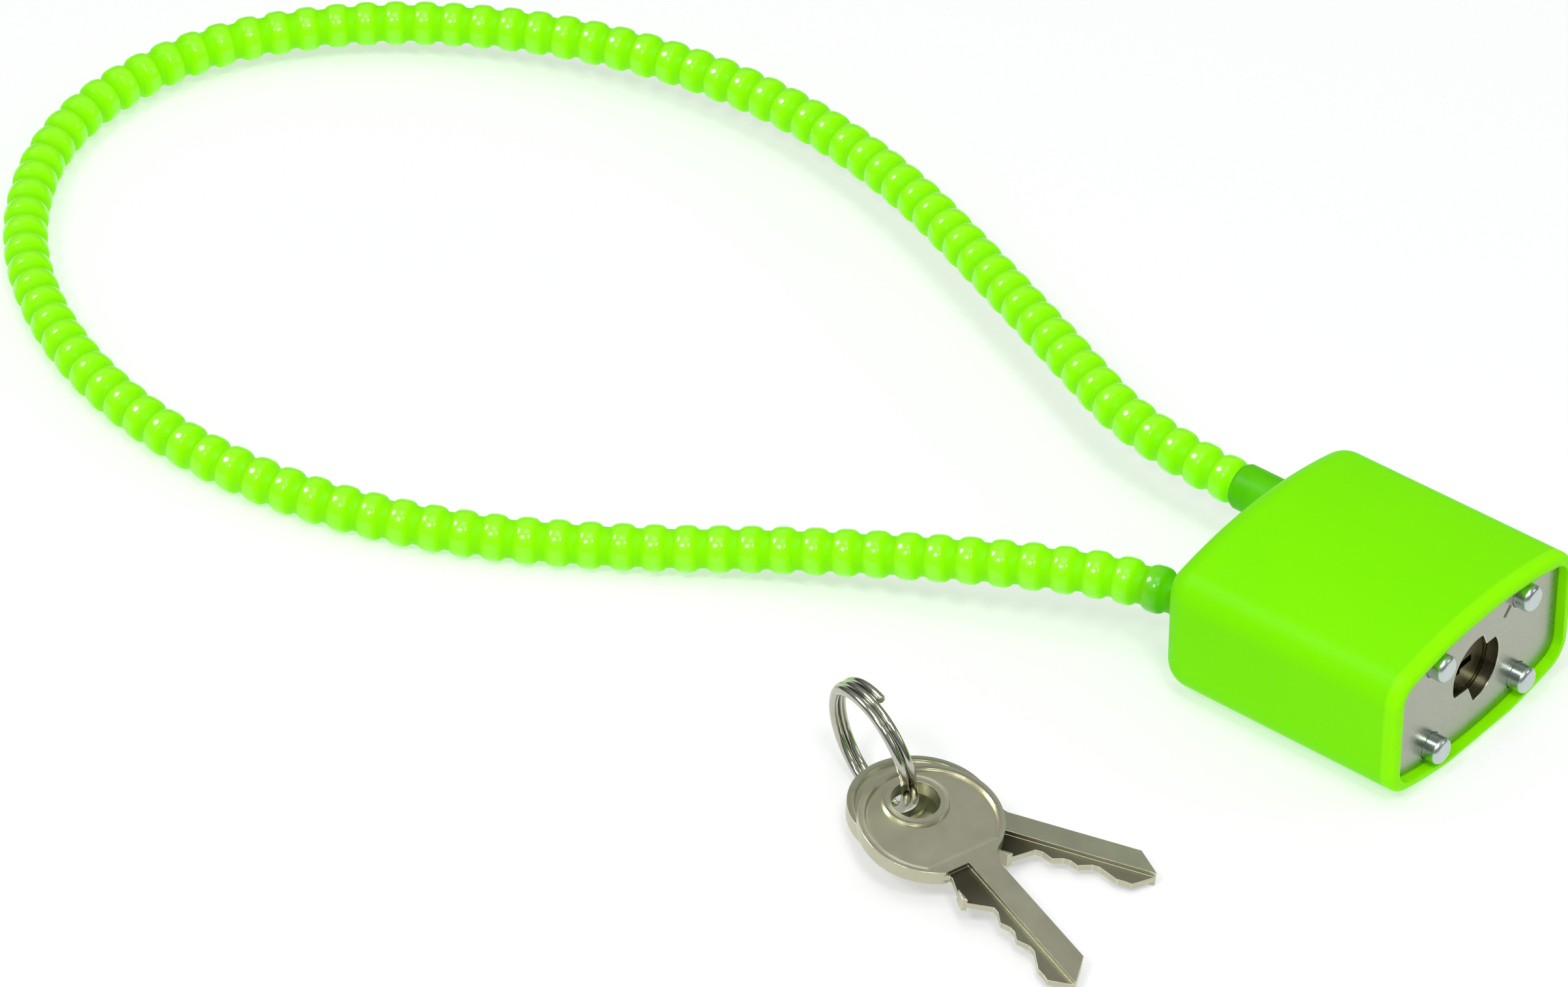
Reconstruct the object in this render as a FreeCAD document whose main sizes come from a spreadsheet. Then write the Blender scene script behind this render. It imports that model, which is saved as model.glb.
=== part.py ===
import FreeCAD, Part
import math
import os
import re

import Sketcher
from FreeCAD import Placement, Rotation, Vector

# Cable lock with two keys on a split ring, in millimetres.
# The lock lies on one broad face: z = 0 is the surface it lies on, x = 0 its middle, y = 0 half its length.
# The keyhole looks towards -Y, and the cable leaves towards +Y: captive heel at -X, removable toe at +X.

SIZES = {
    # Jacket
    "body_width": 36.5,
    "body_thickness": 20.9,
    "crown_radius": 65.0,
    "edge_radius": 4.2,
    "back_radius": 3.8,
    "lip_radius": 1.0,
    "jacket_wall": 1.5,
    "jacket_back_wall": 2.4,
    "rim_depth": 1.2,
    "rest_cut": 0.3,
    # Core
    "core_clearance": 0.1,
    "plate_thickness": 1.8,
    "lamination_thickness": 3.0,
    "cylinder_laminations": 6,
    "keyhole_diameter": 9.3,
    "upper_tab_angle": 56.0,
    "upper_tab_width": 3.2,
    "upper_tab_depth": 1.3,
    "lower_tab_angle": 235.0,
    "lower_tab_width": 5.0,
    "lower_tab_depth": 2.2,
    # Rivets
    "rivet_diameter": 3.5,
    "rivet_spacing_across": 17.5,
    "rivet_inset": 4.05,
    "rivet_standout": 2.1,
    "rivet_edge_radius": 0.5,
    "rivet_head_diameter": 3.9,
    "rivet_head_depth": 1.0,
    "rivet_clearance": 0.05,
    # Cylinder
    "housing_diameter": 12.6,
    "housing_block_height": 6.4,
    "housing_reach": 13.0,
    "housing_clearance": 0.1,
    "plug_diameter": 8.2,
    "running_clearance": 0.05,
    "end_clearance": 0.1,
    "pin_diameter": 2.4,
    "driver_pin_length": 2.3,
    "key_pin_end_gap": 0.2,
    "driver_pin_gap": 0.1,
    "pin_taper": 0.7,
    "pin_edge": 0.2,
    "spring_diameter": 2.2,
    "spring_wall": 0.35,
    "spring_clearance": 0.05,
    "cover_thickness": 0.8,
    "cover_width": 3.0,
    # Cam, dog and toe
    "tenon_side": 3.0,
    "tenon_length": 1.4,
    "cam_diameter": 9.6,
    "cam_radius": 1.1,
    "cam_pin_diameter": 1.6,
    "cam_rest_angle": 135.0,
    "dog_height": 6.0,
    "dog_slot_height": 2.4,
    "dog_clearance": 0.15,
    "dog_length": 13.9,
    "dog_spring_length": 1.2,
    "dog_spring_diameter": 2.4,
    "cable_spacing": 22.0,
    "stud_diameter": 5.2,
    "stud_tip_gap": 0.7,
    "stud_tip_chamfer": 0.9,
    "stud_groove_diameter": 2.5,
    "stud_wall": 1.4,
    "stud_past_jacket": 8.3,
    "toe_drawn_gap": 0.3,
    "collar_gap": 0.3,
    "collar_length": 9.0,
    "collar_edge_radius": 0.5,
    "jacket_toe_clearance": 0.2,
    # Cable
    "rope_diameter": 3.0,
    "rope_clearance": 0.05,
    "sleeve_diameter": 6.0,
    "sleeve_bore": 3.2,
    "sleeve_valley_diameter": 5.1,
    "sleeve_clearance": 0.1,
    "rib_pitch": 4.02,
    "rib_groove_share": 0.18,
    "rib_slope_share": 0.16,
    "ferrule_diameter": 5.0,
    "ferrule_flange_diameter": 6.6,
    "ferrule_bottom": 0.7,
    # Keys
    "key_thickness": 2.0,
    "bow_diameter": 17.5,
    "bow_offset": 3.3,
    "bow_field_diameter": 15.9,
    "bow_field_offset": 3.35,
    "bow_field_reach": 9.6,
    "bow_recess": 0.3,
    "eyelet_diameter": 7.9,
    "key_hole_diameter": 5.9,
    "blade_back_offset": 2.95,
    "blade_width": 5.5,
    "blade_back_width": 3.2,
    "blade_thin": 0.8,
    "groove_width": 3.5,
    "groove_start": 11.3,
    "neck_waist": 12.0,
    "neck_width": 6.0,
    "neck_flare": 2.4,
    "shoulder_width": 7.2,
    "neck_length": 15.6,
    "blade_length": 17.1,
    "tip_back": 2.8,
    "tip_front": 2.3,
    "tip_level": 3.1,
    "first_pin": 3.0,
    "pin_pitch": 3.5,
    "cut_1": 4.4,
    "cut_2": 4.5,
    "cut_3": 4.2,
    "cut_4": 5.4,
    "cut_flat": 0.9,
    "cut_slope": 0.5,
    "keyway_clearance": 0.1,
    "key_1_heading": -105.7,
    "key_1_tilt": 8.9,
    "key_1_x": -58.7,
    "key_1_y": 22.37,
    "key_1_z": 6.1,
    "key_2_heading": -69.4,
    "key_2_tilt": 4.6,
    "key_2_x": -57.69,
    "key_2_y": 26.43,
    "key_2_z": 3.65,
    # Split ring
    "ring_diameter": 16.0,
    "ring_wire_radial": 1.2,
    "ring_wire_axial": 0.86,
    "ring_turn_gap": 0.44,
    "ring_x": -55.48,
    "ring_y": 30.98,
    "ring_z": 8.75,
    "ring_lean": 83.2,
    "ring_heading": -17.0,
    "ring_start": -79.5,
}

# Derived places and sizes, as expressions over the sizes above

DERIVED = {
    "middle": "(body_thickness - rest_cut) / 2",
    "body_length": "rim_depth + plate_thickness + (cylinder_laminations + 4) * lamination_thickness"
                   " + jacket_back_wall",
    "front": "-body_length / 2",
    "plate_front": "front + rim_depth",
    "core_front": "plate_front + plate_thickness",
    "cylinder_back": "core_front + cylinder_laminations * lamination_thickness",
    "cam_back": "cylinder_back + lamination_thickness",
    "dog_back": "cam_back + lamination_thickness",
    "ferrule_back": "dog_back + lamination_thickness",
    "core_back": "ferrule_back + lamination_thickness",
    "back": "core_back + jacket_back_wall",
    "core_inset": "jacket_wall + core_clearance",
    "toe_x": "cable_spacing / 2",
    "heel_x": "-cable_spacing / 2",
    "rivet_spacing_up": "body_thickness - rest_cut - 2 * rivet_inset",
    "plug_radius": "plug_diameter / 2",
    "plug_front": "core_front + end_clearance",
    "plug_back": "cylinder_back - end_clearance",
    "bore_radius": "plug_radius + running_clearance",
    "chamber_radius": "pin_diameter / 2 + running_clearance",
    "cover_inner": "housing_reach - cover_thickness",
    "blade_back_x": "-(plug_radius - keyway_clearance)",
    "chamber_floor": "blade_back_x + blade_back_width + keyway_clearance",
    "key_pin_end": "plug_radius - key_pin_end_gap",
    "driver_start": "bore_radius + driver_pin_gap / 2",
    "driver_end": "driver_start + driver_pin_length",
    "spring_start": "driver_end + spring_clearance",
    "spring_end": "cover_inner - spring_clearance",
    "cam_rest_x": "cam_radius * cos(cam_rest_angle)",
    "cam_rest_z": "middle + cam_radius * sin(cam_rest_angle)",
    "dog_slot_middle": "middle + cam_radius * (1 + sin(cam_rest_angle)) / 2",
    "dog_nose": "toe_x - stud_diameter / 2 - toe_drawn_gap",
    "dog_tail": "dog_nose - dog_length",
    "dog_pocket_end": "dog_tail - dog_spring_length - 2 * spring_clearance",
    "toe_bore_radius": "stud_diameter / 2 + running_clearance",
    "stud_tip": "cylinder_back + stud_tip_gap",
    "stud_back": "back + stud_past_jacket",
    "rope_seat_toe": "dog_back + stud_wall",
    "collar_front": "back + collar_gap",
    "collar_back": "collar_front + collar_length",
    "rope_seat_heel": "cam_back + ferrule_bottom",
    "rope_bore_radius": "rope_diameter / 2 + rope_clearance",
}

# Route of the cable's sleeve from the ferrule to the collar, chosen by hand. Its first and last points stand
# on the two openings, so they and their neighbours take their places from the sizes.

HEEL_LEAD = 11.0
TOE_LEAD = 15.3
FREE_POINTS = [
    Vector(-18.8, 41.4, 9.0),
    Vector(-28.6, 64.9, 5.0),
    Vector(-40.8, 83.5, 3.2),
    Vector(-52.4, 102.4, 3.05),
    Vector(-59.1, 122.8, 3.05),
    Vector(-60.2, 145.2, 3.1),
    Vector(-54.4, 167.6, 3.2),
    Vector(-41.4, 187.5, 3.4),
    Vector(-20.6, 200.7, 3.6),
    Vector(3.0, 199.7, 4.2),
    Vector(21.4, 187.0, 4.9),
    Vector(33.6, 168.6, 5.8),
    Vector(40.2, 147.4, 6.9),
    Vector(41.3, 124.6, 7.9),
    Vector(36.5, 102.0, 8.8),
    Vector(27.6, 80.6, 9.6),
    Vector(18.8, 60.4, 10.2),
]

RIVET_SIDES = [(-1, -1), (1, -1), (-1, 1), (1, 1)]
PIN_CUTS = ["cut_1", "cut_2", "cut_3", "cut_4"]
RING_QUARTERS = 8
TINY = 1e-6
NEAR = 1e-3
ARC_SHARE = 0.45

doc = FreeCAD.newDocument("CableLock")
sheet = doc.addObject("Spreadsheet::Sheet", "Sizes")
for row, (alias, number) in enumerate(SIZES.items(), start=1):
    sheet.set(f"A{row}", alias)
    sheet.set(f"B{row}", str(number))
    sheet.setAlias(f"B{row}", alias)
doc.recompute()

sub_parts = []


# Expressions and numbers

def expand(text):
    """Write an expression over sizes and derived places as one over the sheet's cells."""
    def cell(match):
        word = match.group(0)
        if word in DERIVED:
            return "(" + expand(DERIVED[word]) + ")"
        if word in SIZES:
            return "Sizes." + word
        return word
    return re.sub(r"[a-z]\w*", cell, text)


def value(text):
    """The number that an expression has with the sizes in the sheet."""
    return float(sheet.evalExpression(expand(text)))


def bind(item, name, text):
    """Bind a property to an expression over the sizes."""
    item.setExpression(name, expand(text))


def keep(item, label):
    """Name a finished sub-part and add it to the list that is written out."""
    item.Label = label
    sub_parts.append(item)
    return item


# Sketches

def origin_plane(body, role):
    """The origin plane of a body that has this role."""
    return next(item for item in body.Origin.OriginFeatures if item.Role == role)


def sketch_on(body, name, role, offset="0"):
    """An empty sketch on an origin plane of the body, moved by an offset along the plane's normal."""
    sketch = body.newObject("Sketcher::SketchObject", name)
    sketch.AttachmentSupport = [(origin_plane(body, role), "")]
    sketch.MapMode = "FlatFace"
    if offset != "0":
        bind(sketch, "AttachmentOffset.Base.z", offset)
    return sketch


def hold(sketch, kind, *places, text):
    """Add a constraint whose size follows an expression."""
    index = sketch.addConstraint(Sketcher.Constraint(kind, *places, value(text)))
    bind(sketch, f"Constraints[{index}]", text)


def hold_point(sketch, edge, end, x, y):
    """Hold one end of an edge, or a centre, at the place given by two expressions."""
    for kind, text, axis in (("DistanceX", x, -2), ("DistanceY", y, -1)):
        if text == "0":
            sketch.addConstraint(Sketcher.Constraint("PointOnObject", edge, end, axis))
        else:
            hold(sketch, kind, -1, 1, edge, end, text=text)


def draw_polygon(sketch, points):
    """Closed outline of straight lines through points given as pairs of expressions."""
    places = [Vector(value(x), value(y), 0) for x, y in points]
    lines = []
    for start, end in zip(places, places[1:] + places[:1]):
        lines.append(sketch.addGeometry(Part.LineSegment(start, end)))
    for line, following in zip(lines, lines[1:] + lines[:1]):
        sketch.addConstraint(Sketcher.Constraint("Coincident", line, 2, following, 1))
    for line, (x, y) in zip(lines, points):
        hold_point(sketch, line, 1, x, y)


def draw_rectangle(sketch, left, right, low, high):
    """Rectangle between four expressions."""
    draw_polygon(sketch, [(left, low), (right, low), (right, high), (left, high)])


def draw_circle(sketch, x, y, radius):
    """Circle with its centre and radius given by expressions."""
    circle = Part.Circle(Vector(value(x), value(y), 0), Vector(0, 0, 1), value(radius))
    index = sketch.addGeometry(circle)
    hold_point(sketch, index, 3, x, y)
    hold(sketch, "Radius", index, text=radius)


def draw_crowned(sketch, inset):
    """Cross-section of the lock: straight sides and an arched top and bottom, moved in by an inset."""
    half_width = f"body_width / 2 - ({inset})"
    radius = f"crown_radius - ({inset})"
    top_centre = "body_thickness - crown_radius"
    bottom_centre = "crown_radius - rest_cut"
    rise = f"sqrt(({radius}) ^ 2 - ({half_width}) ^ 2)"
    half = value(half_width)
    upper = value(f"{top_centre} + {rise}")
    lower = value(f"{bottom_centre} - {rise}")
    lean = math.asin(half / value(radius))
    circles = [Part.Circle(Vector(0, value(top_centre), 0), Vector(0, 0, 1), value(radius)),
               Part.Circle(Vector(0, value(bottom_centre), 0), Vector(0, 0, 1), value(radius))]
    top = sketch.addGeometry(Part.ArcOfCircle(circles[0], math.pi / 2 - lean, math.pi / 2 + lean))
    left = sketch.addGeometry(Part.LineSegment(Vector(-half, upper, 0), Vector(-half, lower, 0)))
    bottom = sketch.addGeometry(Part.ArcOfCircle(circles[1], -math.pi / 2 - lean, -math.pi / 2 + lean))
    right = sketch.addGeometry(Part.LineSegment(Vector(half, lower, 0), Vector(half, upper, 0)))
    for first, second in ((top, left), (left, bottom), (bottom, right), (right, top)):
        sketch.addConstraint(Sketcher.Constraint("Coincident", first, 2, second, 1))
    for arc, centre in ((top, top_centre), (bottom, bottom_centre)):
        hold_point(sketch, arc, 3, "0", centre)
        hold(sketch, "Radius", arc, text=radius)
    hold_point_x(sketch, left, f"-({half_width})")
    hold_point_x(sketch, right, half_width)
    for line in (left, right):
        sketch.addConstraint(Sketcher.Constraint("Vertical", line))


def hold_point_x(sketch, line, x):
    """Hold only the first coordinate of a line's start."""
    hold(sketch, "DistanceX", -1, 1, line, 1, text=x)


# Features of a body along Y: the XZ plane's normal points to -Y

def pad_along_y(body, name, start, end, draw):
    """Pad an outline from y = start to y = end."""
    sketch = sketch_on(body, name + "_outline", "XZ_Plane", f"-({start})")
    draw(sketch)
    feature = body.newObject("PartDesign::Pad", name)
    feature.Profile = sketch
    feature.Reversed = True
    bind(feature, "Length", f"({end}) - ({start})")
    doc.recompute()
    return feature


def pocket_along_y(body, name, start, end, draw):
    """Cut an outline from y = start to y = end."""
    before = body.Shape.Volume
    sketch = sketch_on(body, name + "_outline", "XZ_Plane", f"-({start})")
    draw(sketch)
    feature = body.newObject("PartDesign::Pocket", name)
    feature.Profile = sketch
    bind(feature, "Length", f"({end}) - ({start})")
    doc.recompute()
    if body.Shape.Volume > before - TINY:
        raise RuntimeError(f"{body.Label}: {name} cuts nothing")
    return feature


def round_edges(body, name, radius, chosen):
    """Fillet the edges of the body's tip that the test chooses."""
    base = body.Tip
    names = [f"Edge{index}" for index, edge in enumerate(base.Shape.Edges, start=1) if chosen(edge.BoundBox)]
    feature = body.newObject("PartDesign::Fillet", name)
    feature.Base = (base, names)
    bind(feature, "Radius", radius)
    doc.recompute()
    return feature


def along_y(box):
    """Whether an edge's box is that of a straight edge parallel to Y."""
    return box.XLength < NEAR and box.ZLength < NEAR


def lies_at_y(place):
    """A test for edges that lie in the plane y = place."""
    return lambda box: abs(box.YMin - place) < NEAR and abs(box.YMax - place) < NEAR


# Solids of revolution and simple solids

DIRECTIONS = {
    "x": Rotation(Vector(0, 1, 0), 90),
    "y": Rotation(Vector(1, 0, 0), -90),
    "z": Rotation(),
}


def place_at(item, x, y, z, direction="z"):
    """Turn an item's own Z axis to a direction and bind its place to three expressions."""
    item.Placement = Placement(Vector(), DIRECTIONS[direction])
    for axis, text in zip("xyz", (x, y, z)):
        bind(item, f"Placement.Base.{axis}", text)


def turned(label, points, x, y, z, direction):
    """Body of revolution whose half section is a list of (radius, distance along the axis) expressions."""
    body = doc.addObject("PartDesign::Body", label)
    doc.recompute()
    sketch = sketch_on(body, label + "_section", "XZ_Plane")
    draw_polygon(sketch, points)
    feature = body.newObject("PartDesign::Revolution", label + "_turn")
    feature.Profile = sketch
    feature.ReferenceAxis = (sketch, ["V_Axis"])
    feature.Angle = 360
    place_at(body, x, y, z, direction)
    doc.recompute()
    return body


def cylinder(name, radius, length, x, y, z, direction):
    """Plain cylinder that starts at a place and runs along +X, +Y or +Z."""
    item = doc.addObject("Part::Cylinder", name)
    bind(item, "Radius", radius)
    bind(item, "Height", length)
    place_at(item, x, y, z, direction)
    return item


def block(name, left, right, front, rear, low, high):
    """Block between six expressions."""
    item = doc.addObject("Part::Box", name)
    bind(item, "Length", f"({right}) - ({left})")
    bind(item, "Width", f"({rear}) - ({front})")
    bind(item, "Height", f"({high}) - ({low})")
    place_at(item, left, front, low)
    return item


def joined(name, *items):
    """Union of solids."""
    item = doc.addObject("Part::MultiFuse", name)
    item.Shapes = list(items)
    item.Refine = True
    doc.recompute()
    return item


def cut(name, base, *tools):
    """The base without each of the tools, one boolean after another."""
    result = base
    for index, tool in enumerate(tools, start=1):
        step = doc.addObject("Part::Cut", name if index == len(tools) else f"{name}_step_{index}")
        step.Base = result
        step.Tool = tool
        doc.recompute()
        if step.Shape.Volume > result.Shape.Volume - TINY:
            raise RuntimeError(f"{name}: {tool.Name} cuts nothing")
        result = step
    return result


# Jacket: plastic cup over the core, open at the front

def make_jacket():
    body = doc.addObject("PartDesign::Body", "jacket")
    doc.recompute()
    pad_along_y(body, "jacket_block", "front", "back", lambda sketch: draw_crowned(sketch, "0"))
    round_edges(body, "jacket_long_edges", "edge_radius", along_y)
    round_edges(body, "jacket_back_edges", "back_radius", lies_at_y(value("back")))

    # The underside is cut flat where the lock lies on it
    under = sketch_on(body, "jacket_rest_outline", "XY_Plane")
    draw_rectangle(under, "-body_width", "body_width", "-body_length", "body_length")
    rest = body.newObject("PartDesign::Pocket", "jacket_rest")
    rest.Profile = under
    rest.Reversed = False
    bind(rest, "Length", "body_thickness")
    doc.recompute()

    pocket_along_y(body, "jacket_inside", "front", "core_back",
                   lambda sketch: draw_crowned(sketch, "jacket_wall"))
    half = value("body_width / 2 - jacket_wall")
    round_edges(body, "jacket_inside_edges", "edge_radius - jacket_wall",
                lambda box: along_y(box) and abs(abs(box.Center.x) - half) < NEAR)
    top = value("body_thickness - jacket_wall")
    low = value("jacket_wall - rest_cut")
    at_front = lies_at_y(value("front"))

    def is_lip(box):
        """Whether an edge is one of the outer edges of the open end."""
        outside = max(abs(box.XMin), box.XMax) > half + TINY or box.ZMax > top + TINY or box.ZMin < low - TINY
        return at_front(box) and outside

    round_edges(body, "jacket_lip", "lip_radius", is_lip)
    pocket_along_y(body, "jacket_toe_hole", "core_back", "back",
                   lambda sketch: draw_circle(sketch, "toe_x", "middle",
                                              "stud_diameter / 2 + jacket_toe_clearance"))
    pocket_along_y(body, "jacket_heel_hole", "core_back", "back",
                   lambda sketch: draw_circle(sketch, "heel_x", "middle",
                                              "sleeve_diameter / 2 + sleeve_clearance"))
    keep(body, "jacket")


# Core plates: the end plate and the laminations share one outline and the four rivet holes

def core_plate(label, start, end):
    body = doc.addObject("PartDesign::Body", label)
    doc.recompute()
    pad_along_y(body, label + "_plate", start, end, lambda sketch: draw_crowned(sketch, "core_inset"))
    round_edges(body, label + "_corners", "edge_radius - core_inset", along_y)

    def rivet_holes(sketch):
        for side, up in RIVET_SIDES:
            draw_circle(sketch, f"{side} * rivet_spacing_across / 2", f"middle + {up} * rivet_spacing_up / 2",
                        "rivet_diameter / 2 + rivet_clearance")

    pocket_along_y(body, label + "_rivet_holes", start, end, rivet_holes)
    return body


def draw_keyhole(sketch):
    """Round keyhole with two pointed tabs that reach in from its edge."""
    radius = "keyhole_diameter / 2"
    corners = []
    for tab in ("upper", "lower"):
        spread = f"asin({tab}_tab_width / keyhole_diameter)"
        tip = f"({radius} - {tab}_tab_depth)"
        angle = f"{tab}_tab_angle * 1 deg"
        for place, reach in ((f"({angle} - {spread})", radius), (f"({angle})", tip),
                             (f"({angle} + {spread})", radius)):
            corners.append((f"({reach}) * cos({place})", f"middle + ({reach}) * sin({place})"))
    points = [Vector(value(x), value(y), 0) for x, y in corners]
    centre = Vector(0, value("middle"), 0)

    def arc(start, end):
        """Arc about the keyhole's centre, counter-clockwise from start to end."""
        angles = [math.atan2(point.y - centre.y, point.x - centre.x) for point in (start, end)]
        return Part.ArcOfCircle(Part.Circle(centre, Vector(0, 0, 1), value(radius)), angles[0], angles[1])

    edges = [
        sketch.addGeometry(Part.LineSegment(points[0], points[1])),
        sketch.addGeometry(Part.LineSegment(points[1], points[2])),
        sketch.addGeometry(arc(points[2], points[3])),
        sketch.addGeometry(Part.LineSegment(points[3], points[4])),
        sketch.addGeometry(Part.LineSegment(points[4], points[5])),
        sketch.addGeometry(arc(points[5], points[0])),
    ]
    for edge, following in zip(edges, edges[1:] + edges[:1]):
        sketch.addConstraint(Sketcher.Constraint("Coincident", edge, 2, following, 1))
    for edge, (x, y) in zip(edges, corners):
        hold_point(sketch, edge, 1, x, y)
    for edge in (edges[2], edges[5]):
        hold(sketch, "Radius", edge, text=radius)


def make_end_plate():
    body = core_plate("end_plate", "plate_front", "core_front")
    pocket_along_y(body, "end_plate_keyhole", "plate_front", "core_front", draw_keyhole)
    keep(body, "end_plate")


def make_laminations():
    """The stack behind the end plate: cylinder laminations, then cam, dog, ferrule and back lamination."""
    roles = ["cylinder"] * int(value("cylinder_laminations")) + ["cam", "dog", "ferrule", "back"]
    for index, role in enumerate(roles):
        label = f"lamination_{index + 1:02d}"
        start = f"core_front + {index} * lamination_thickness"
        end = f"core_front + {index + 1} * lamination_thickness"
        body = core_plate(label, start, end)

        def opening(name, draw, start=start, end=end, body=body, label=label):
            pocket_along_y(body, f"{label}_{name}", start, end, draw)

        if role == "cylinder":
            opening("round", lambda sketch: draw_circle(sketch, "0", "middle",
                                                        "housing_diameter / 2 + housing_clearance"))
            opening("slot", lambda sketch: draw_rectangle(
                sketch, "0", "housing_reach + housing_clearance",
                "middle - housing_block_height / 2 - housing_clearance",
                "middle + housing_block_height / 2 + housing_clearance"))
        if role == "cam":
            opening("cam", lambda sketch: draw_circle(sketch, "0", "middle",
                                                      "cam_diameter / 2 + housing_clearance"))
        if role == "dog":
            opening("dog", lambda sketch: draw_rectangle(
                sketch, "dog_pocket_end", "toe_x", "middle - dog_height / 2 - housing_clearance",
                "middle + dog_height / 2 + housing_clearance"))
            opening("heel", lambda sketch: draw_circle(
                sketch, "heel_x", "middle", "ferrule_flange_diameter / 2 + running_clearance"))
        if role == "ferrule":
            opening("heel", lambda sketch: draw_circle(sketch, "heel_x", "middle",
                                                       "ferrule_diameter / 2 + running_clearance"))
        if role == "back":
            opening("heel", lambda sketch: draw_circle(sketch, "heel_x", "middle",
                                                       "sleeve_diameter / 2 + sleeve_clearance"))
            for number, (side, up) in enumerate(RIVET_SIDES, start=1):
                x = f"{side} * rivet_spacing_across / 2"
                z = f"middle + {up} * rivet_spacing_up / 2"
                pocket_along_y(body, f"{label}_head_{number}", "core_back - rivet_head_depth", "core_back",
                               lambda sketch, x=x, z=z: draw_circle(
                                   sketch, x, z, "rivet_head_diameter / 2 + rivet_clearance"))
        if role != "cylinder":
            opening("toe", lambda sketch: draw_circle(sketch, "toe_x", "middle", "toe_bore_radius"))
        keep(body, label)


def make_rivets():
    """Four rivets through the whole stack, with flat heads at the back and rounded tails at the front."""
    for number, (side, up) in enumerate(RIVET_SIDES, start=1):
        label = f"rivet_{number}"
        shank = "rivet_diameter / 2"
        head = "rivet_head_diameter / 2"
        length = "rivet_standout + core_back - plate_front"
        body = turned(label, [("0", "0"), (shank, "0"), (shank, f"{length} - rivet_head_depth"),
                              (head, f"{length} - rivet_head_depth"), (head, length), ("0", length)],
                      f"{side} * rivet_spacing_across / 2", "plate_front - rivet_standout",
                      f"middle + {up} * rivet_spacing_up / 2", "y")
        round_edges(body, label + "_tail", "rivet_edge_radius",
                    lambda box: box.ZMax < NEAR)
        keep(body, label)


# Cylinder: housing, plug, pins, springs and chamber cover

def pin_y(number):
    """Place along Y of a pin chamber, counted from the plug's face."""
    return f"plug_front + first_pin + {number} * pin_pitch"


def make_housing():
    length = "cylinder_laminations * lamination_thickness"
    outer = cylinder("housing_round", "housing_diameter / 2", length, "0", "core_front", "middle", "y")
    arm = block("housing_block", "0", "housing_reach", "core_front", "cylinder_back",
                "middle - housing_block_height / 2", "middle + housing_block_height / 2")
    tools = [cylinder("housing_bore", "bore_radius", length, "0", "core_front", "middle", "y")]
    for number in range(len(PIN_CUTS)):
        tools.append(cylinder(f"housing_chamber_{number + 1}", "chamber_radius", "cover_inner", "0",
                              pin_y(number), "middle", "x"))
    tools.append(block("housing_cover_seat", "cover_inner", "housing_reach", cover_edge(-1), cover_edge(1),
                       "middle - cover_width / 2 - running_clearance",
                       "middle + cover_width / 2 + running_clearance"))
    keep(cut("cylinder_housing", joined("housing_blank", outer, arm), *tools), "cylinder_housing")
    keep(block("chamber_cover", "cover_inner", "housing_reach",
               cover_edge(-1) + " + running_clearance", cover_edge(1) + " - running_clearance",
               "middle - cover_width / 2", "middle + cover_width / 2"), "chamber_cover")


def cover_edge(side):
    """End of the seat that the chamber cover lies in, towards the front (-1) or the back (1)."""
    number = 0 if side < 0 else len(PIN_CUTS) - 1
    return f"{pin_y(number)} + {side} * (chamber_radius + running_clearance)"


def make_plug():
    """Plug with its keyway, pin chambers and the square tenon that carries the cam disc."""
    length = "plug_back - plug_front"
    blank = cylinder("plug_round", "plug_radius", length, "0", "plug_front", "middle", "y")
    tenon = block("plug_tenon", "-tenon_side / 2", "tenon_side / 2", "plug_back - 1",
                  "plug_back + tenon_length", "middle - tenon_side / 2", "middle + tenon_side / 2")
    half = "(key_thickness / 2 + keyway_clearance)"
    web = "(blade_thin / 2 + keyway_clearance)"
    step = "blade_back_x + blade_back_width + keyway_clearance"
    key_end = "plug_front + blade_length + keyway_clearance"
    tools = [
        block("plug_keyway_back", "-plug_radius - 1", step, "plug_front", key_end,
              f"middle - {half}", f"middle + {half}"),
        block("plug_keyway_cuts", f"{step} - keyway_clearance",
              "blade_back_x + blade_width + keyway_clearance", "plug_front", key_end,
              f"middle - {web}", f"middle + {web}"),
    ]
    for number in range(len(PIN_CUTS)):
        tools.append(cylinder(f"plug_chamber_{number + 1}", "chamber_radius", "plug_diameter",
                              "chamber_floor", pin_y(number), "middle", "x"))
    keep(cut("plug", joined("plug_blank", blank, tenon), *tools), "plug")


def make_pins():
    """Each pin stack: key pin on the key's cut, driver pin above the shear line, and its spring."""
    radius = "pin_diameter / 2"
    for number, cut_width in enumerate(PIN_CUTS):
        y = pin_y(number)
        tip = f"(blade_back_x + {cut_width})"
        end = f"(key_pin_end - {tip})"
        keep(turned(f"key_pin_{number + 1}",
                    [("0", "0"), (f"{radius} - pin_taper", "0"), (radius, "pin_taper"),
                     (radius, f"{end} - pin_edge"), (f"{radius} - pin_edge", end), ("0", end)],
                    tip, y, "middle", "x"), f"key_pin_{number + 1}")
        keep(turned(f"driver_pin_{number + 1}",
                    [("0", "0"), (f"{radius} - pin_edge", "0"), (radius, "pin_edge"),
                     (radius, "driver_pin_length"), ("0", "driver_pin_length")],
                    "driver_start", y, "middle", "x"), f"driver_pin_{number + 1}")
        keep(spring_tube(f"pin_spring_{number + 1}", "spring_diameter", "spring_end - spring_start",
                         "spring_start", y), f"pin_spring_{number + 1}")


def spring_tube(label, diameter, length, x, y):
    """A hidden spring's outer shape: a tube along X with the spring's length and wire thickness."""
    outer = f"{diameter} / 2"
    inner = f"{diameter} / 2 - spring_wall"
    return turned(label, [(inner, "0"), (outer, "0"), (outer, length), (inner, length)],
                  x, y, "middle", "x")


# Locking work behind the plug

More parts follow.
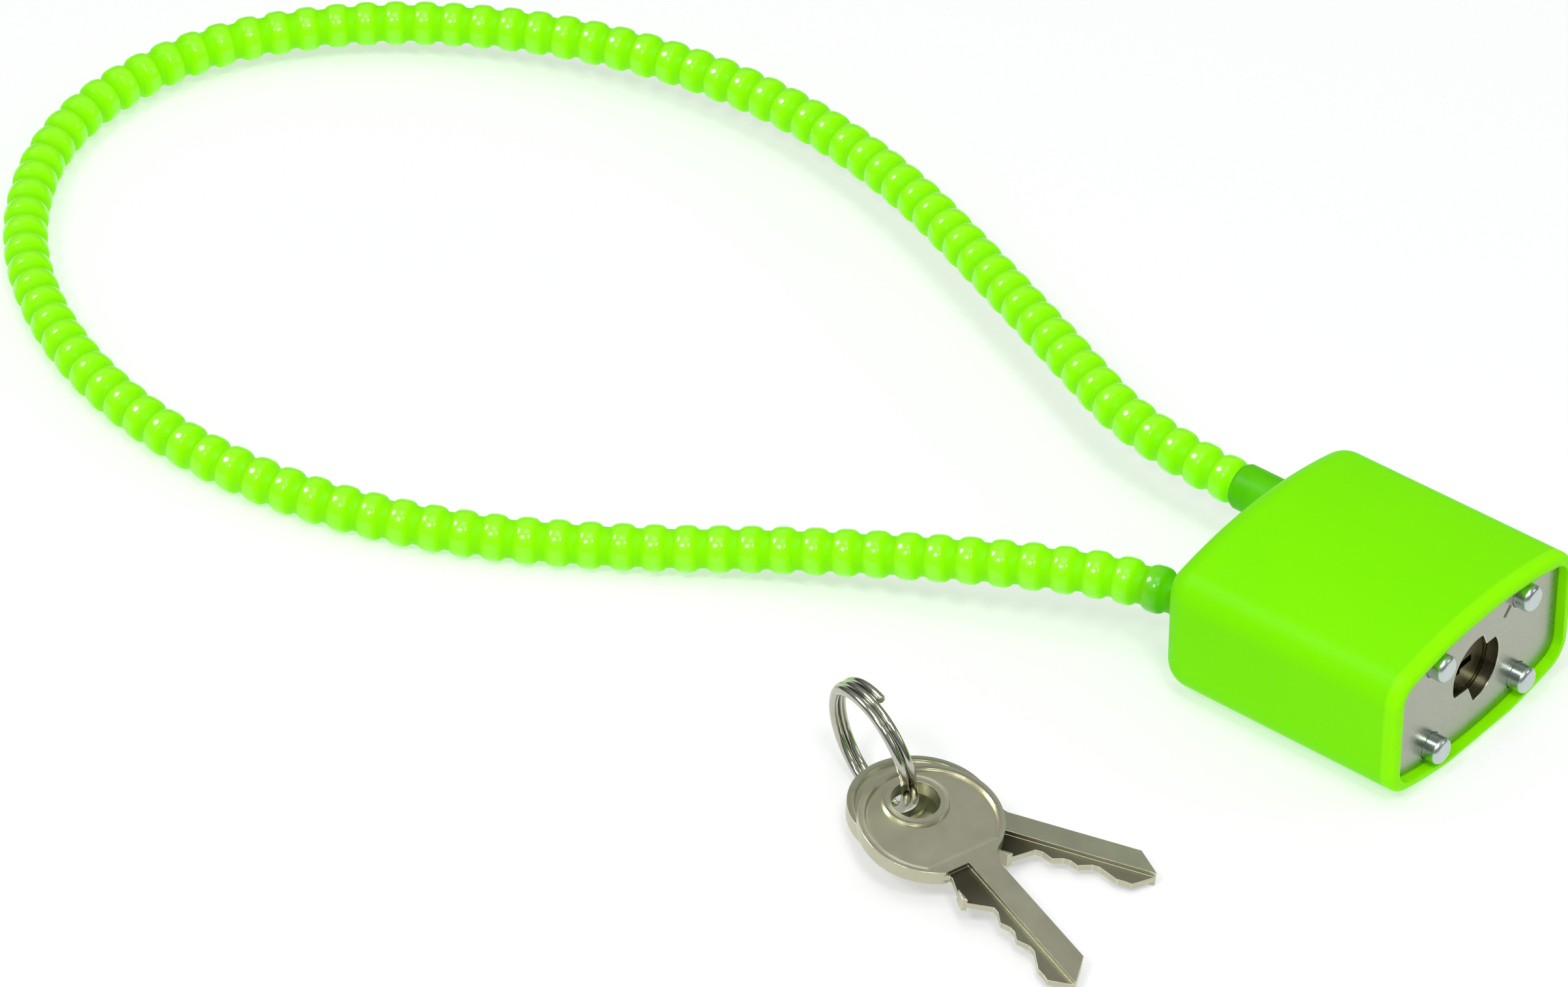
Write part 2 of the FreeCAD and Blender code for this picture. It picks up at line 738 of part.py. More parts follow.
def make_cam():
    """Disc on the plug's tenon, with the eccentric pin that moves the dog."""
    start = "cylinder_back + end_clearance"
    thick = "lamination_thickness - 2 * end_clearance"
    disc = cylinder("cam_round", "cam_diameter / 2", thick, "0", start, "middle", "y")
    pin_length = "dog_back - dog_clearance - cylinder_back - end_clearance"
    pin = cylinder("cam_pin", "cam_pin_diameter / 2", pin_length, "cam_rest_x", start, "cam_rest_z", "y")
    half = "(tenon_side / 2 + running_clearance)"
    hole = block("cam_square", f"-{half}", half, start, "plug_back + tenon_length + end_clearance",
                 f"middle - {half}", f"middle + {half}")
    keep(cut("cam_disc", joined("cam_blank", disc, pin), hole), "cam_disc")


def make_dog():
    """Bolt that slides into the toe's groove, here drawn back, and the spring behind it."""
    near = "cam_back + dog_clearance"
    far = "dog_back - dog_clearance"
    blank = block("dog_blank", "dog_tail", "dog_nose", near, far,
                  "middle - dog_height / 2", "middle + dog_height / 2")
    half = "(cam_pin_diameter / 2 + dog_clearance)"
    slot = block("dog_slot", f"cam_rest_x - {half}", f"cam_rest_x + {half}", near, far,
                 "dog_slot_middle - dog_slot_height / 2", "dog_slot_middle + dog_slot_height / 2")
    keep(cut("locking_dog", blank, slot), "locking_dog")
    keep(spring_tube("dog_spring", "dog_spring_diameter", "dog_spring_length",
                     "dog_tail - spring_clearance - dog_spring_length",
                     "(cam_back + dog_back) / 2"), "dog_spring")


def make_toe():
    """Stud with the locking groove, crimped on the rope, and the smooth collar over its outer end."""
    radius = "stud_diameter / 2"
    core = "stud_groove_diameter / 2"
    groove_start = "(cam_back - stud_tip - end_clearance)"
    groove_end = "(dog_back - stud_tip + end_clearance)"
    length = "(stud_back - stud_tip)"
    seat = "(rope_seat_toe - stud_tip)"
    keep(turned("toe_stud",
                [("0", "0"), (f"{radius} - stud_tip_chamfer", "0"), (radius, "stud_tip_chamfer"),
                 (radius, groove_start), (core, groove_start), (core, groove_end), (radius, groove_end),
                 (radius, length),
                 ("rope_bore_radius", length), ("rope_bore_radius", seat), ("0", seat)],
                "toe_x", "stud_tip", "middle", "y"), "toe_stud")
    outer = "sleeve_diameter / 2"
    inner = "(stud_diameter / 2 + running_clearance)"
    step = "(stud_back - collar_front + running_clearance)"
    edge = "collar_edge_radius"
    keep(turned("toe_collar",
                [(inner, "0"), (f"{outer} - {edge} / 4", "0"), (outer, f"{edge} / 4"),
                 (outer, f"collar_length - {edge}"), (f"{outer} - {edge} / 2", "collar_length"),
                 ("rope_bore_radius", "collar_length"),
                 ("rope_bore_radius", step), (inner, step)],
                "toe_x", "collar_front", "middle", "y"), "toe_collar")


def make_ferrule():
    """Flanged ferrule that holds the rope's captive end in the core."""
    radius = "ferrule_diameter / 2"
    flange = "ferrule_flange_diameter / 2"
    bore = "rope_bore_radius"
    thick = "(lamination_thickness - end_clearance)"
    length = "(ferrule_back - cam_back)"
    keep(turned("heel_ferrule",
                [("0", "0"), (flange, "0"), (flange, thick), (radius, thick), (radius, length),
                 (bore, length), (bore, "ferrule_bottom"), ("0", "ferrule_bottom")],
                "heel_x", "cam_back", "middle", "y"), "heel_ferrule")


# Cable

def sleeve_route():
    """The whole route of the sleeve: straight leads out of the ferrule's face and into the collar's."""
    heel = Vector(value("heel_x"), value("ferrule_back"), value("middle"))
    toe = Vector(value("toe_x"), value("collar_back"), value("middle"))
    outward = Vector(0, 1, 0)
    return [heel, heel + outward * HEEL_LEAD] + FREE_POINTS + [toe + outward * TOE_LEAD, toe]


def tangent_path(points):
    """Straight runs joined by tangent arcs: a list of edges, and the arcs' radii."""
    edges = []
    radii = []
    place = points[0]
    for before, corner, after in zip(points, points[1:], points[2:]):
        inward = (corner - before).normalize()
        onward = (after - corner).normalize()
        turn = inward.getAngle(onward)
        reach = ARC_SHARE * min((corner - before).Length, (after - corner).Length)
        start = corner - inward * reach
        end = corner + onward * reach
        radius = reach / math.tan(turn / 2)
        side = (onward - inward).normalize()
        middle = corner + side * (radius / math.cos(turn / 2) - radius)
        edges.append(Part.LineSegment(place, start).toShape())
        edges.append(Part.Arc(start, middle, end).toShape())
        radii.append(radius)
        place = end
    edges.append(Part.LineSegment(place, points[-1]).toShape())
    return edges, radii


def stations_along(edges, distances):
    """Points and headings on a path of edges at the given distances from its start."""
    stations = []
    lengths = [edge.Length for edge in edges]
    for distance in distances:
        index = 0
        rest = distance
        while index < len(edges) - 1 and rest > lengths[index]:
            rest -= lengths[index]
            index += 1
        edge = edges[index]
        parameter = edge.getParameterByLength(min(rest, lengths[index]))
        stations.append((edge.valueAt(parameter), edge.tangentAt(parameter)))
    return stations


def section_circle(point, heading, radius):
    """Circle across the path, whose own X axis stays level and square to the heading."""
    circle = Part.Circle(point, heading, radius)
    circle.XAxis = heading.cross(Vector(0, 0, 1)).normalize()
    return Part.Wire(circle.toShape())


def make_cable():
    """Ribbed sleeve round a wire rope. The rope runs on into the ferrule and the stud."""
    edges, radii = tangent_path(sleeve_route())
    total = sum(edge.Length for edge in edges)
    ribs = round(total / value("rib_pitch"))
    pitch = total / ribs
    groove = pitch * value("rib_groove_share") / 2
    slope = pitch * value("rib_slope_share")
    peak = value("sleeve_diameter / 2")
    valley = value("sleeve_valley_diameter / 2")
    distances = []
    outline = []
    for rib in range(ribs):
        for offset, radius in ((groove, valley), (groove + slope, peak),
                               (pitch - groove - slope, peak), (pitch - groove, valley)):
            distances.append(rib * pitch + offset)
            outline.append(radius)
    distances = [0.0] + distances + [total]
    outline = [valley] + outline + [valley]
    stations = stations_along(edges, distances)
    outer = [section_circle(point, heading, radius) for (point, heading), radius in zip(stations, outline)]
    bore = value("sleeve_bore / 2")
    inner = [section_circle(point, heading, bore) for point, heading in stations]
    solid = Part.makeLoft(outer, True, True).cut(Part.makeLoft(inner, True, True))
    sleeve = doc.addObject("Part::Feature", "ribbed_sleeve")
    sleeve.Shape = solid
    sleeve.Placement = Placement()
    keep(sleeve, "ribbed_sleeve")

    heel = Vector(value("heel_x"), value("rope_seat_heel"), value("middle"))
    toe = Vector(value("toe_x"), value("rope_seat_toe"), value("middle"))
    first = Part.LineSegment(heel, edges[0].lastVertex().Point).toShape()
    last = Part.LineSegment(edges[-1].firstVertex().Point, toe).toShape()
    spine = Part.Wire([first] + edges[1:-1] + [last])
    section = section_circle(heel, Vector(0, 1, 0), value("rope_diameter / 2"))
    rope = doc.addObject("Part::Feature", "wire_rope")
    rope.Shape = spine.makePipeShell([section], True, False)
    rope.Placement = Placement()
    keep(rope, "wire_rope")

    straight = math.pi * value("rope_diameter / 2") ** 2 * spine.Length
    print(f"cable: {ribs} ribs, sleeve {total:.1f} mm, rope {spine.Length:.1f} mm")
    print("cable: arc radii " + ", ".join(f"{radius:.0f}" for radius in radii))
    print(f"cable: rope volume {rope.Shape.Volume:.1f}, section times length {straight:.1f}")
    points = [point for point, _ in stations]
    apart = least_gap(points, distances, 4 * peak) - 2 * peak
    print(f"cable: least gap of the sleeve to itself {apart:.1f}")


def least_gap(points, distances, along):
    """Least distance between points that are further apart than a length along their path."""
    least = math.inf
    for index, (point, place) in enumerate(zip(points, distances)):
        for other, further in zip(points[index + 1:], distances[index + 1:]):
            if further - place > along:
                least = min(least, point.distanceToPoint(other))
    return least


# Keys and split ring

def blade_outline():
    """Outline of a key's neck and blade: the key's hole is the origin, and the blade runs along +X."""
    back = "blade_back_offset"
    edge = "(blade_back_offset - blade_width)"
    tip = "(neck_length + blade_length)"
    points = [
        ("bow_offset", f"{back} + neck_flare"),
        ("bow_offset", f"{back} - neck_width"),
        ("neck_waist", f"{back} - neck_width"),
        ("neck_length", f"{back} - shoulder_width"),
    ]
    for number, width in enumerate(PIN_CUTS):
        centre = f"(neck_length + first_pin + {number} * pin_pitch)"
        points.append((f"{centre} - cut_flat / 2", f"{back} - {width}"))
        points.append((f"{centre} + cut_flat / 2", f"{back} - {width}"))
        if number + 1 < len(PIN_CUTS):
            following = PIN_CUTS[number + 1]
            peak = f"({centre} + pin_pitch / 2 + ({following} - {width}) / (2 * cut_slope))"
            rise = f"({peak} - {centre} - cut_flat / 2) * cut_slope"
            points.append((peak, f"{back} - {width} - {rise}"))
    points += [
        (f"{tip} - tip_front", edge),
        (tip, f"{back} - tip_level"),
        (f"{tip} - tip_back", back),
        ("neck_waist + neck_flare / 2", back),
        ("neck_waist - neck_flare / 4", f"{back} + neck_flare / 3"),
        ("neck_waist - neck_flare * 0.85", f"{back} + neck_flare"),
    ]
    return points


def make_key(number):
    """Key with a round coined bow, an eyelet round its hole, and a blade that is thin along its cuts."""
    label = f"key_{number}"
    half = "key_thickness / 2"
    blade = doc.addObject("PartDesign::Body", label + "_blade")
    doc.recompute()
    sketch = sketch_on(blade, label + "_blade_outline", "XY_Plane")
    draw_polygon(sketch, blade_outline())
    pad = blade.newObject("PartDesign::Pad", label + "_blade_pad")
    pad.Profile = sketch
    pad.Midplane = True
    bind(pad, "Length", "key_thickness")
    bow = cylinder(label + "_bow", "bow_diameter / 2", "key_thickness", "bow_offset", "0", f"-{half}", "z")
    blank = joined(label + "_blank", bow, blade)

    tools = []
    for side, low, high in (("top", f"{half} - bow_recess", f"{half} + 1"),
                            ("under", f"-{half} - 1", f"-{half} + bow_recess")):
        depth = f"({high}) - ({low})"
        disc = cylinder(f"{label}_{side}_disc", "bow_field_diameter / 2", depth,
                        "bow_field_offset", "0", low, "z")
        eyelet = cylinder(f"{label}_{side}_eyelet", "eyelet_diameter / 2", depth, "0", "0", low, "z")
        neck = block(f"{label}_{side}_neck", "bow_field_reach", "bow_field_reach + bow_diameter",
                     "-bow_diameter", "bow_diameter", low, high)
        tools.append(cut(f"{label}_{side}_field", disc, eyelet, neck))
    tools.append(cylinder(label + "_hole", "key_hole_diameter / 2", "key_thickness + 2", "0", "0",
                          f"-{half} - 1", "z"))
    groove_side = "blade_back_offset - blade_back_width"
    for side, low, high in (("top", "blade_thin / 2", f"{half} + 1"),
                            ("under", f"-{half} - 1", "-blade_thin / 2")):
        tools.append(block(f"{label}_{side}_groove", "groove_start", "neck_length + blade_length + 1",
                           f"{groove_side} - groove_width", groove_side, low, high))
    key = cut(label, blank, *tools)
    heading = Rotation(value(f"key_{number}_heading"), value(f"key_{number}_tilt"), 0)
    key.Placement = Placement(Vector(), heading)
    for axis in "xyz":
        bind(key, f"Placement.Base.{axis}", f"key_{number}_{axis}")
    keep(key, label)


def biarc(start, start_heading, end, end_heading):
    """Two tangent arcs from one point and heading to another."""
    span = end - start
    headings = start_heading + end_heading
    spread = 2 * (1 - start_heading.dot(end_heading))
    along = span.dot(headings)
    reach = (math.sqrt(along * along + spread * span.dot(span)) - along) / spread
    first_corner = start + start_heading * reach
    second_corner = end - end_heading * reach
    meeting = (first_corner + second_corner) * 0.5
    arcs = []
    for near, corner, far in ((start, first_corner, meeting), (meeting, second_corner, end)):
        chord_middle = (near + far) * 0.5
        rise = corner - chord_middle
        half_angle = math.atan2(rise.Length, (far - near).Length / 2)
        bulge = (far - near).Length / 2 * math.tan(half_angle / 2)
        arcs.append(Part.Arc(near, chord_middle + rise.normalize() * bulge, far).toShape())
    return arcs


def make_split_ring():
    """Flat wire wound twice: a coil of two close turns whose ends overlap."""
    radius = value("ring_diameter / 2")
    pitch = value("ring_wire_axial + ring_turn_gap")
    climb = pitch / (2 * math.pi)
    start = math.radians(value("ring_start"))

    def place(angle):
        return Vector(radius * math.cos(angle), radius * math.sin(angle),
                      climb * (angle - start) - pitch * RING_QUARTERS / 8)

    def heading(angle):
        return Vector(-radius * math.sin(angle), radius * math.cos(angle), climb).normalize()

    angles = [start + math.pi * index / 2 for index in range(RING_QUARTERS + 1)]
    arcs = []
    for near, far in zip(angles, angles[1:]):
        arcs += biarc(place(near), heading(near), place(far), heading(far))
    half_radial = value("ring_wire_radial / 2")
    half_axial = value("ring_wire_axial / 2")
    outward = Vector(math.cos(start), math.sin(start), 0)
    upward = outward.cross(heading(start))
    corners = [place(start) + outward * (half_radial * across) + upward * (half_axial * up)
               for across, up in ((-1, -1), (1, -1), (1, 1), (-1, 1), (-1, -1))]
    wire = Part.Wire(arcs).makePipeShell([Part.makePolygon(corners)], True, False)
    ring = doc.addObject("Part::Feature", "split_ring")
    ring.Shape = wire
    lean = Rotation(Vector(0, 0, 1), value("ring_heading")) * Rotation(Vector(0, 1, 0), value("ring_lean"))
    ring.Placement = Placement(Vector(value("ring_x"), value("ring_y"), value("ring_z")), lean)
    keep(ring, "split_ring")
    lowest = ring.Shape.BoundBox.ZMin
    print(f"split ring: gap between turns {value('ring_turn_gap'):.2f}, lowest point {lowest:.2f}")


make_jacket()
make_end_plate()
make_laminations()
make_rivets()
make_housing()
make_plug()
make_pins()
make_cam()
make_dog()
make_toe()
make_ferrule()
make_cable()
make_key(1)
make_key(2)
make_split_ring()
doc.recompute()

for item in doc.Objects:
    if "Invalid" in item.State or "Error" in item.State:
        raise RuntimeError(f"{item.Label}: {item.State}")
for item in sub_parts:
    if item.Shape.isNull() or not item.Shape.isValid():
        raise RuntimeError(f"{item.Label}: its shape is not a valid solid")

os.makedirs("parts", exist_ok=True)
for item in sub_parts:
    item.Shape.exportStep(f"parts/{item.Label}.step")
print(f"{len(sub_parts)} sub-parts written")
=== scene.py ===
# %% [markdown]
# Cable lock with two keys on a split ring.
#
# The lock lies on a table on one of its broad faces. A riveted steel core sits in a lime plastic jacket,
# a ribbed green sleeve runs round the wire rope in a loose loop, and two nickel keys lie beside it.
# Sizes are in metres unless a comment says millimetres, and every finished piece has its place in its mesh.

# %% Load the frame
import math

import bpy
from mathutils import Matrix, Vector


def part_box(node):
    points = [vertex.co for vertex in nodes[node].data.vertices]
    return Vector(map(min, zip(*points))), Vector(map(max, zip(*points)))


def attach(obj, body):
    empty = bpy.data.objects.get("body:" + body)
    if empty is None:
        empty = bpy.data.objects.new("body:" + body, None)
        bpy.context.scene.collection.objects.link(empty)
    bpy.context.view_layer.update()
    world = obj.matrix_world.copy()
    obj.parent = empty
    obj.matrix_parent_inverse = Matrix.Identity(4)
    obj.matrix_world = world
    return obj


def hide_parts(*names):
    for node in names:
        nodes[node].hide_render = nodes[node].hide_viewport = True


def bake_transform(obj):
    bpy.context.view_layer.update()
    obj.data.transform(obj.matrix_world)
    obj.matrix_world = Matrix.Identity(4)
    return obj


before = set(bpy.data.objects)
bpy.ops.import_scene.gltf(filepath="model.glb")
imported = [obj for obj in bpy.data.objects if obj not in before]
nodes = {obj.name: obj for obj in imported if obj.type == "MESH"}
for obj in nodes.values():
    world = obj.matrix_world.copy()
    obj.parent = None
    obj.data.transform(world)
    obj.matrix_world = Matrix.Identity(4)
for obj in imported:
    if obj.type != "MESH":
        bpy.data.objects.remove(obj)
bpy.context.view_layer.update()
MM = 0.001

# %% [markdown]
# Operators act on all that is selected, and loading leaves the solids selected.
# These few helpers start every piece from a clean selection, select faces or edges by where they are,
# and put a finished piece's place into its mesh, so that its object stands at the origin.

# %% Helpers for modelling by hand
def deselect():
    if bpy.context.object is not None and bpy.context.object.mode != "OBJECT":
        bpy.ops.object.mode_set(mode="OBJECT")
    bpy.ops.object.select_all(action="DESELECT")


def pick(piece):
    deselect()
    piece.select_set(True)
    bpy.context.view_layer.objects.active = piece


def placed(name, data):
    """A new object in the scene for a mesh, a curve, a lamp or a camera."""
    piece = bpy.data.objects.new(name, data)
    bpy.context.scene.collection.objects.link(piece)
    return piece


def added(name):
    """The primitive that was just added, under its own name."""
    piece = bpy.context.object
    piece.name = name
    piece.data.name = name
    return piece


def settle(piece):
    """Moves the object's place, turn and scale into its mesh."""
    pick(piece)
    bpy.ops.object.transform_apply(location=True, rotation=True, scale=True)


def select_faces(piece, wanted):
    """In edit mode, selects the faces whose centre and normal pass a test."""
    bpy.ops.object.mode_set(mode="EDIT")
    bpy.ops.mesh.select_mode(type="FACE")
    bpy.ops.mesh.select_all(action="DESELECT")
    bpy.ops.object.mode_set(mode="OBJECT")
    for face in piece.data.polygons:
        face.select = wanted(face.center, face.normal)
    bpy.ops.object.mode_set(mode="EDIT")


def select_edges(piece, wanted):
    """In edit mode, selects the edges whose two ends pass a test."""
    bpy.ops.object.mode_set(mode="EDIT")
    bpy.ops.mesh.select_mode(type="EDGE")
    bpy.ops.mesh.select_all(action="DESELECT")
    bpy.ops.object.mode_set(mode="OBJECT")
    points = piece.data.vertices
    for edge in piece.data.edges:
        edge.select = wanted(points[edge.vertices[0]].co, points[edge.vertices[1]].co)
    bpy.ops.object.mode_set(mode="EDIT")


def modify(piece, kind, **settings):
    """Adds a modifier with its settings and applies it."""
    pick(piece)
    modifier = piece.modifiers.new(kind.title(), kind)
    for name, value in settings.items():
        setattr(modifier, name, value)
    bpy.ops.object.modifier_apply(modifier=modifier.name)


MERGE_WITHIN = 1e-7


def outward(piece):
    """Merges doubles and turns every face outwards."""
    pick(piece)
    bpy.ops.object.mode_set(mode="EDIT")
    bpy.ops.mesh.select_all(action="SELECT")
    bpy.ops.mesh.remove_doubles(threshold=MERGE_WITHIN)
    bpy.ops.mesh.normals_make_consistent(inside=False)
    bpy.ops.object.mode_set(mode="OBJECT")


def smooth(piece, degrees):
    """Smooth shading, except across edges that are sharper than an angle."""
    pick(piece)
    bpy.ops.object.shade_smooth_by_angle(angle=math.radians(degrees))


# %% [markdown]
# Shader maths reads best as plain expressions. A Socket stands for one output of a node, and adding,
# multiplying or comparing two of them adds the Math node that does it. A Finish is one material:
# its make method adds any other node from its type, its settings and the values or links of its inputs.

# %% Sockets and finishes
class Socket:
    """One output of a node, with the arithmetic that the finishes use."""

    def __init__(self, finish, output):
        self.finish = finish
        self.output = output

    def _math(self, operation, *values):
        return self.finish.maths(operation, *values)

    def __add__(self, other):
        return self._math("ADD", self, other)

    __radd__ = __add__

    def __mul__(self, other):
        return self._math("MULTIPLY", self, other)

    __rmul__ = __mul__

    def __sub__(self, other):
        return self._math("SUBTRACT", self, other)

    def __rsub__(self, other):
        return self._math("SUBTRACT", other, self)

    def __pow__(self, other):
        return self._math("POWER", self, other)

    def __abs__(self):
        return self._math("ABSOLUTE", self)

    def lesser(self, other):
        return self._math("MINIMUM", self, other)

    def clamp(self, low=0.0, high=1.0):
        return self._math("MAXIMUM", self, low).lesser(high)

    def above(self, edge, soft):
        """0 below an edge and 1 above it, with a soft step of the given width."""
        return self.finish.make("ShaderNodeMapRange", {"interpolation_type": "SMOOTHSTEP"},
                                {"Value": self, "From Min": edge - soft / 2, "From Max": edge + soft / 2})


# The Mix node has sockets for every kind of value: these are its share and the ones that carry colours
MIX_SHARE, MIX_FIRST, MIX_SECOND, MIX_COLOUR = 0, 6, 7, 2


class Finish:
    """A material made of nodes, for one kind of surface on the lock."""

    def __init__(self, name, **shader_values):
        self.material = bpy.data.materials.new(name)
        self.material.use_nodes = True
        self.tree = self.material.node_tree
        self.shader = self.tree.nodes["Principled BSDF"]
        for socket, value in shader_values.items():
            self.shader.inputs[socket.replace("_", " ")].default_value = value
        self.place = self.make("ShaderNodeTexCoord", {}, {}, "Object")

    def make(self, kind, settings, inputs, output=0):
        """Adds a node and gives one of its outputs."""
        node = self.tree.nodes.new(kind)
        for name, value in settings.items():
            setattr(node, name, value)
        for name, value in inputs.items():
            if isinstance(value, Socket):
                self.tree.links.new(value.output, node.inputs[name])
            else:
                node.inputs[name].default_value = value
        return Socket(self, node.outputs[output])

    def maths(self, operation, *values):
        return self.make("ShaderNodeMath", {"operation": operation}, dict(enumerate(values)))

    def noise(self, scale, detail, roughness=0.55, where=None):
        """Noise of a given scale in features per metre."""
        return self.make("ShaderNodeTexNoise", {}, {
            "Vector": where or self.place, "Scale": scale, "Detail": detail, "Roughness": roughness})

    def stretched(self, x, y, z):
        """Object coordinates scaled along each axis, which draws a pattern out into streaks."""
        return self.make("ShaderNodeVectorMath", {"operation": "MULTIPLY"}, {0: self.place, 1: (x, y, z)})

    def mesh_value(self, name, output="Fac"):
        """A value that the mesh carries at its points or faces."""
        return self.make("ShaderNodeAttribute", {"attribute_name": name}, {}, output)

    def part(self, vector, letter):
        """One of the three parts of a vector."""
        return self.make("ShaderNodeSeparateXYZ", {}, {0: vector}, letter)

    def axis(self, letter):
        """One of the object's own coordinates, in metres."""
        return self.part(self.place, letter)

    def colours(self, share, first, second):
        """Goes from one colour to another."""
        first, second = (end if isinstance(end, Socket) else (*end, 1.0) for end in (first, second))
        return self.make("ShaderNodeMix", {"data_type": "RGBA"},
                         {MIX_SHARE: share, MIX_FIRST: first, MIX_SECOND: second}, MIX_COLOUR)

    def bump(self, height, depth, strength, under=None):
        """Bump of a real depth in metres from a height of 0 to 1. It may lie over another bump."""
        inputs = {"Height": height, "Distance": depth, "Strength": strength}
        if under is not None:
            inputs["Normal"] = under
        return self.make("ShaderNodeBump", {}, inputs)

    def feed(self, **links):
        """Links sockets to the shader's inputs."""
        for name, source in links.items():
            self.tree.links.new(source.output, self.shader.inputs[name.replace("_", " ")])


def wear(piece, material):
    """Gives a piece one material."""
    piece.data.materials.clear()
    piece.data.materials.append(material)
    for face in piece.data.polygons:
        face.material_index = 0


# %% [markdown]
# The photograph looks down on the lock from its left front corner, from far away through a long lens.
# A camera can be turned by angles or given three axes of its own. Here it gets the axes, because its angles
# and its place come from matching the body, the cable and the keys.

# %% Camera
AZIMUTH, ELEVATION = math.radians(-50.22), math.radians(37.56)
CAMERA_PLACE = (-0.5877, -0.3980, 0.5719)


def towards(azimuth, elevation):
    """The direction from the object to a camera or lamp at these angles, in radians."""
    return Vector((math.sin(azimuth) * math.cos(elevation), -math.cos(azimuth) * math.cos(elevation),
                   math.sin(elevation)))


camera = placed("camera", bpy.data.cameras.new("camera"))
camera.data.sensor_width = 36.0
camera.data.lens = 171.5
camera.data.clip_start = 0.05
camera.data.clip_end = 20.0
back = towards(AZIMUTH, ELEVATION)
right = Vector((math.cos(AZIMUTH), math.sin(AZIMUTH), 0.0))
up = back.cross(right)
camera.matrix_world = Matrix((*zip(right, up, back, CAMERA_PLACE), (0.0, 0.0, 0.0, 1.0)))
bpy.context.scene.camera = camera
print("camera back", [round(value, 3) for value in back])

# %% [markdown]
# The lock lies on white paper that has no edge in the picture. Brighter lamps would whiten a floor, but the
# object too, so the paper gets a little light of its own instead. It keeps the shadows.

# %% Floor
FLOOR_SIZE = 6.0
bpy.ops.mesh.primitive_plane_add(size=FLOOR_SIZE, location=(0.0, 0.0, 0.0))
floor = added("floor")
settle(floor)
paper = Finish("floor_paper", Roughness=0.9, Specular_IOR_Level=0.1, Emission_Color=(1.0, 1.0, 1.0, 1.0),
               Emission_Strength=0.48)
grain = paper.noise(900.0, 2.0)
paper.feed(Base_Color=paper.colours(grain, (0.52, 0.52, 0.52), (0.55, 0.55, 0.55)))
floor.data.materials.append(paper.material)
print("floor:", FLOOR_SIZE, "m")

# %% [markdown]
# Product photographs have broad soft light, and square area lamps and a grey sky give it. One more lamp
# stands behind the lock and lights nothing: it only shows in reflections, as a small glint on every rib
# of the sleeve. A brighter lamp could give the same glints, but it would wash out the green.

# %% Lamps and sky
LIT_MIDDLE = Vector((-0.01, 0.09, 0.0))
HORIZON, OVERHEAD = (0.02, (0.07, 0.07, 0.07, 1.0)), (0.75, (0.48, 0.49, 0.50, 1.0))


def softbox(name, azimuth, elevation, distance, size, watts, lights=True):
    """A square area lamp, at angles in degrees, that is turned to the middle of the scene.

    One that lights nothing only shows in reflections.
    """
    away = towards(math.radians(azimuth), math.radians(elevation))
    lamp = bpy.data.lights.new(name, "AREA")
    lamp.shape = "SQUARE"
    lamp.size = size
    lamp.energy = watts
    holder = placed(name, lamp)
    holder.location = LIT_MIDDLE + away * distance
    holder.rotation_mode = "QUATERNION"
    holder.rotation_quaternion = (-away).to_track_quat("-Z", "Y")
    holder.visible_diffuse = lights


softbox("overhead_softbox", -70.0, 82.0, 1.4, 0.6, 3.2)
softbox("left_softbox", -84.0, 50.0, 1.5, 0.27, 5.6)
softbox("front_softbox", -36.0, 56.0, 1.5, 0.27, 5.2)
softbox("right_softbox", 35.0, 30.0, 1.5, 0.4, 1.4)
softbox("rear_glint", -150.0, 50.0, 1.6, 0.42, 19.0, lights=False)

sky = bpy.data.worlds.new("studio")
sky.use_nodes = True
bpy.context.scene.world = sky
sky_tree = sky.node_tree
sky_place = sky_tree.nodes.new("ShaderNodeTexCoord")
sky_height = sky_tree.nodes.new("ShaderNodeSeparateXYZ")
sky_ramp = sky_tree.nodes.new("ShaderNodeValToRGB")
for stop, (height, grey) in zip(sky_ramp.color_ramp.elements, (HORIZON, OVERHEAD)):
    stop.position = height
    stop.color = grey
sky_tree.links.new(sky_place.outputs["Generated"], sky_height.inputs[0])
sky_tree.links.new(sky_height.outputs["Z"], sky_ramp.inputs["Fac"])
sky_tree.links.new(sky_ramp.outputs["Color"], sky_tree.nodes["Background"].inputs["Color"])
bpy.context.scene.view_settings.view_transform = "Standard"
print("lamps:", len(bpy.data.lights))

# %% [markdown]
# The cable is the largest thing in the picture. Its route is one smooth curve through listed points, the
# same points that the solid model uses: out of the captive end, round the loop on the table, and back up
# into the collar at the removable end. Everything along the cable reads its place from this one line.

# %% Cable route
MIDDLE = 10.3 * MM
ROUTE = [
    (-0.0110, 0.0123, MIDDLE), (-0.0110, 0.0233, MIDDLE),
    (-0.0188, 0.0414, 0.0090), (-0.0286, 0.0649, 0.0050), (-0.0408, 0.0835, 0.0032),
    (-0.0524, 0.1024, 0.00305), (-0.0591, 0.1228, 0.00305), (-0.0602, 0.1452, 0.0031),
    (-0.0544, 0.1676, 0.0032), (-0.0414, 0.1875, 0.0034), (-0.0206, 0.2007, 0.0036),
    (0.0030, 0.1997, 0.0042), (0.0214, 0.1870, 0.0049), (0.0336, 0.1686, 0.0058),
    (0.0402, 0.1474, 0.0069), (0.0413, 0.1246, 0.0079), (0.0365, 0.1020, 0.0088),
    (0.0276, 0.0806, 0.0096), (0.0188, 0.0604, 0.0102),
    (0.0110, 0.0423, MIDDLE), (0.0110, 0.0270, MIDDLE),
]


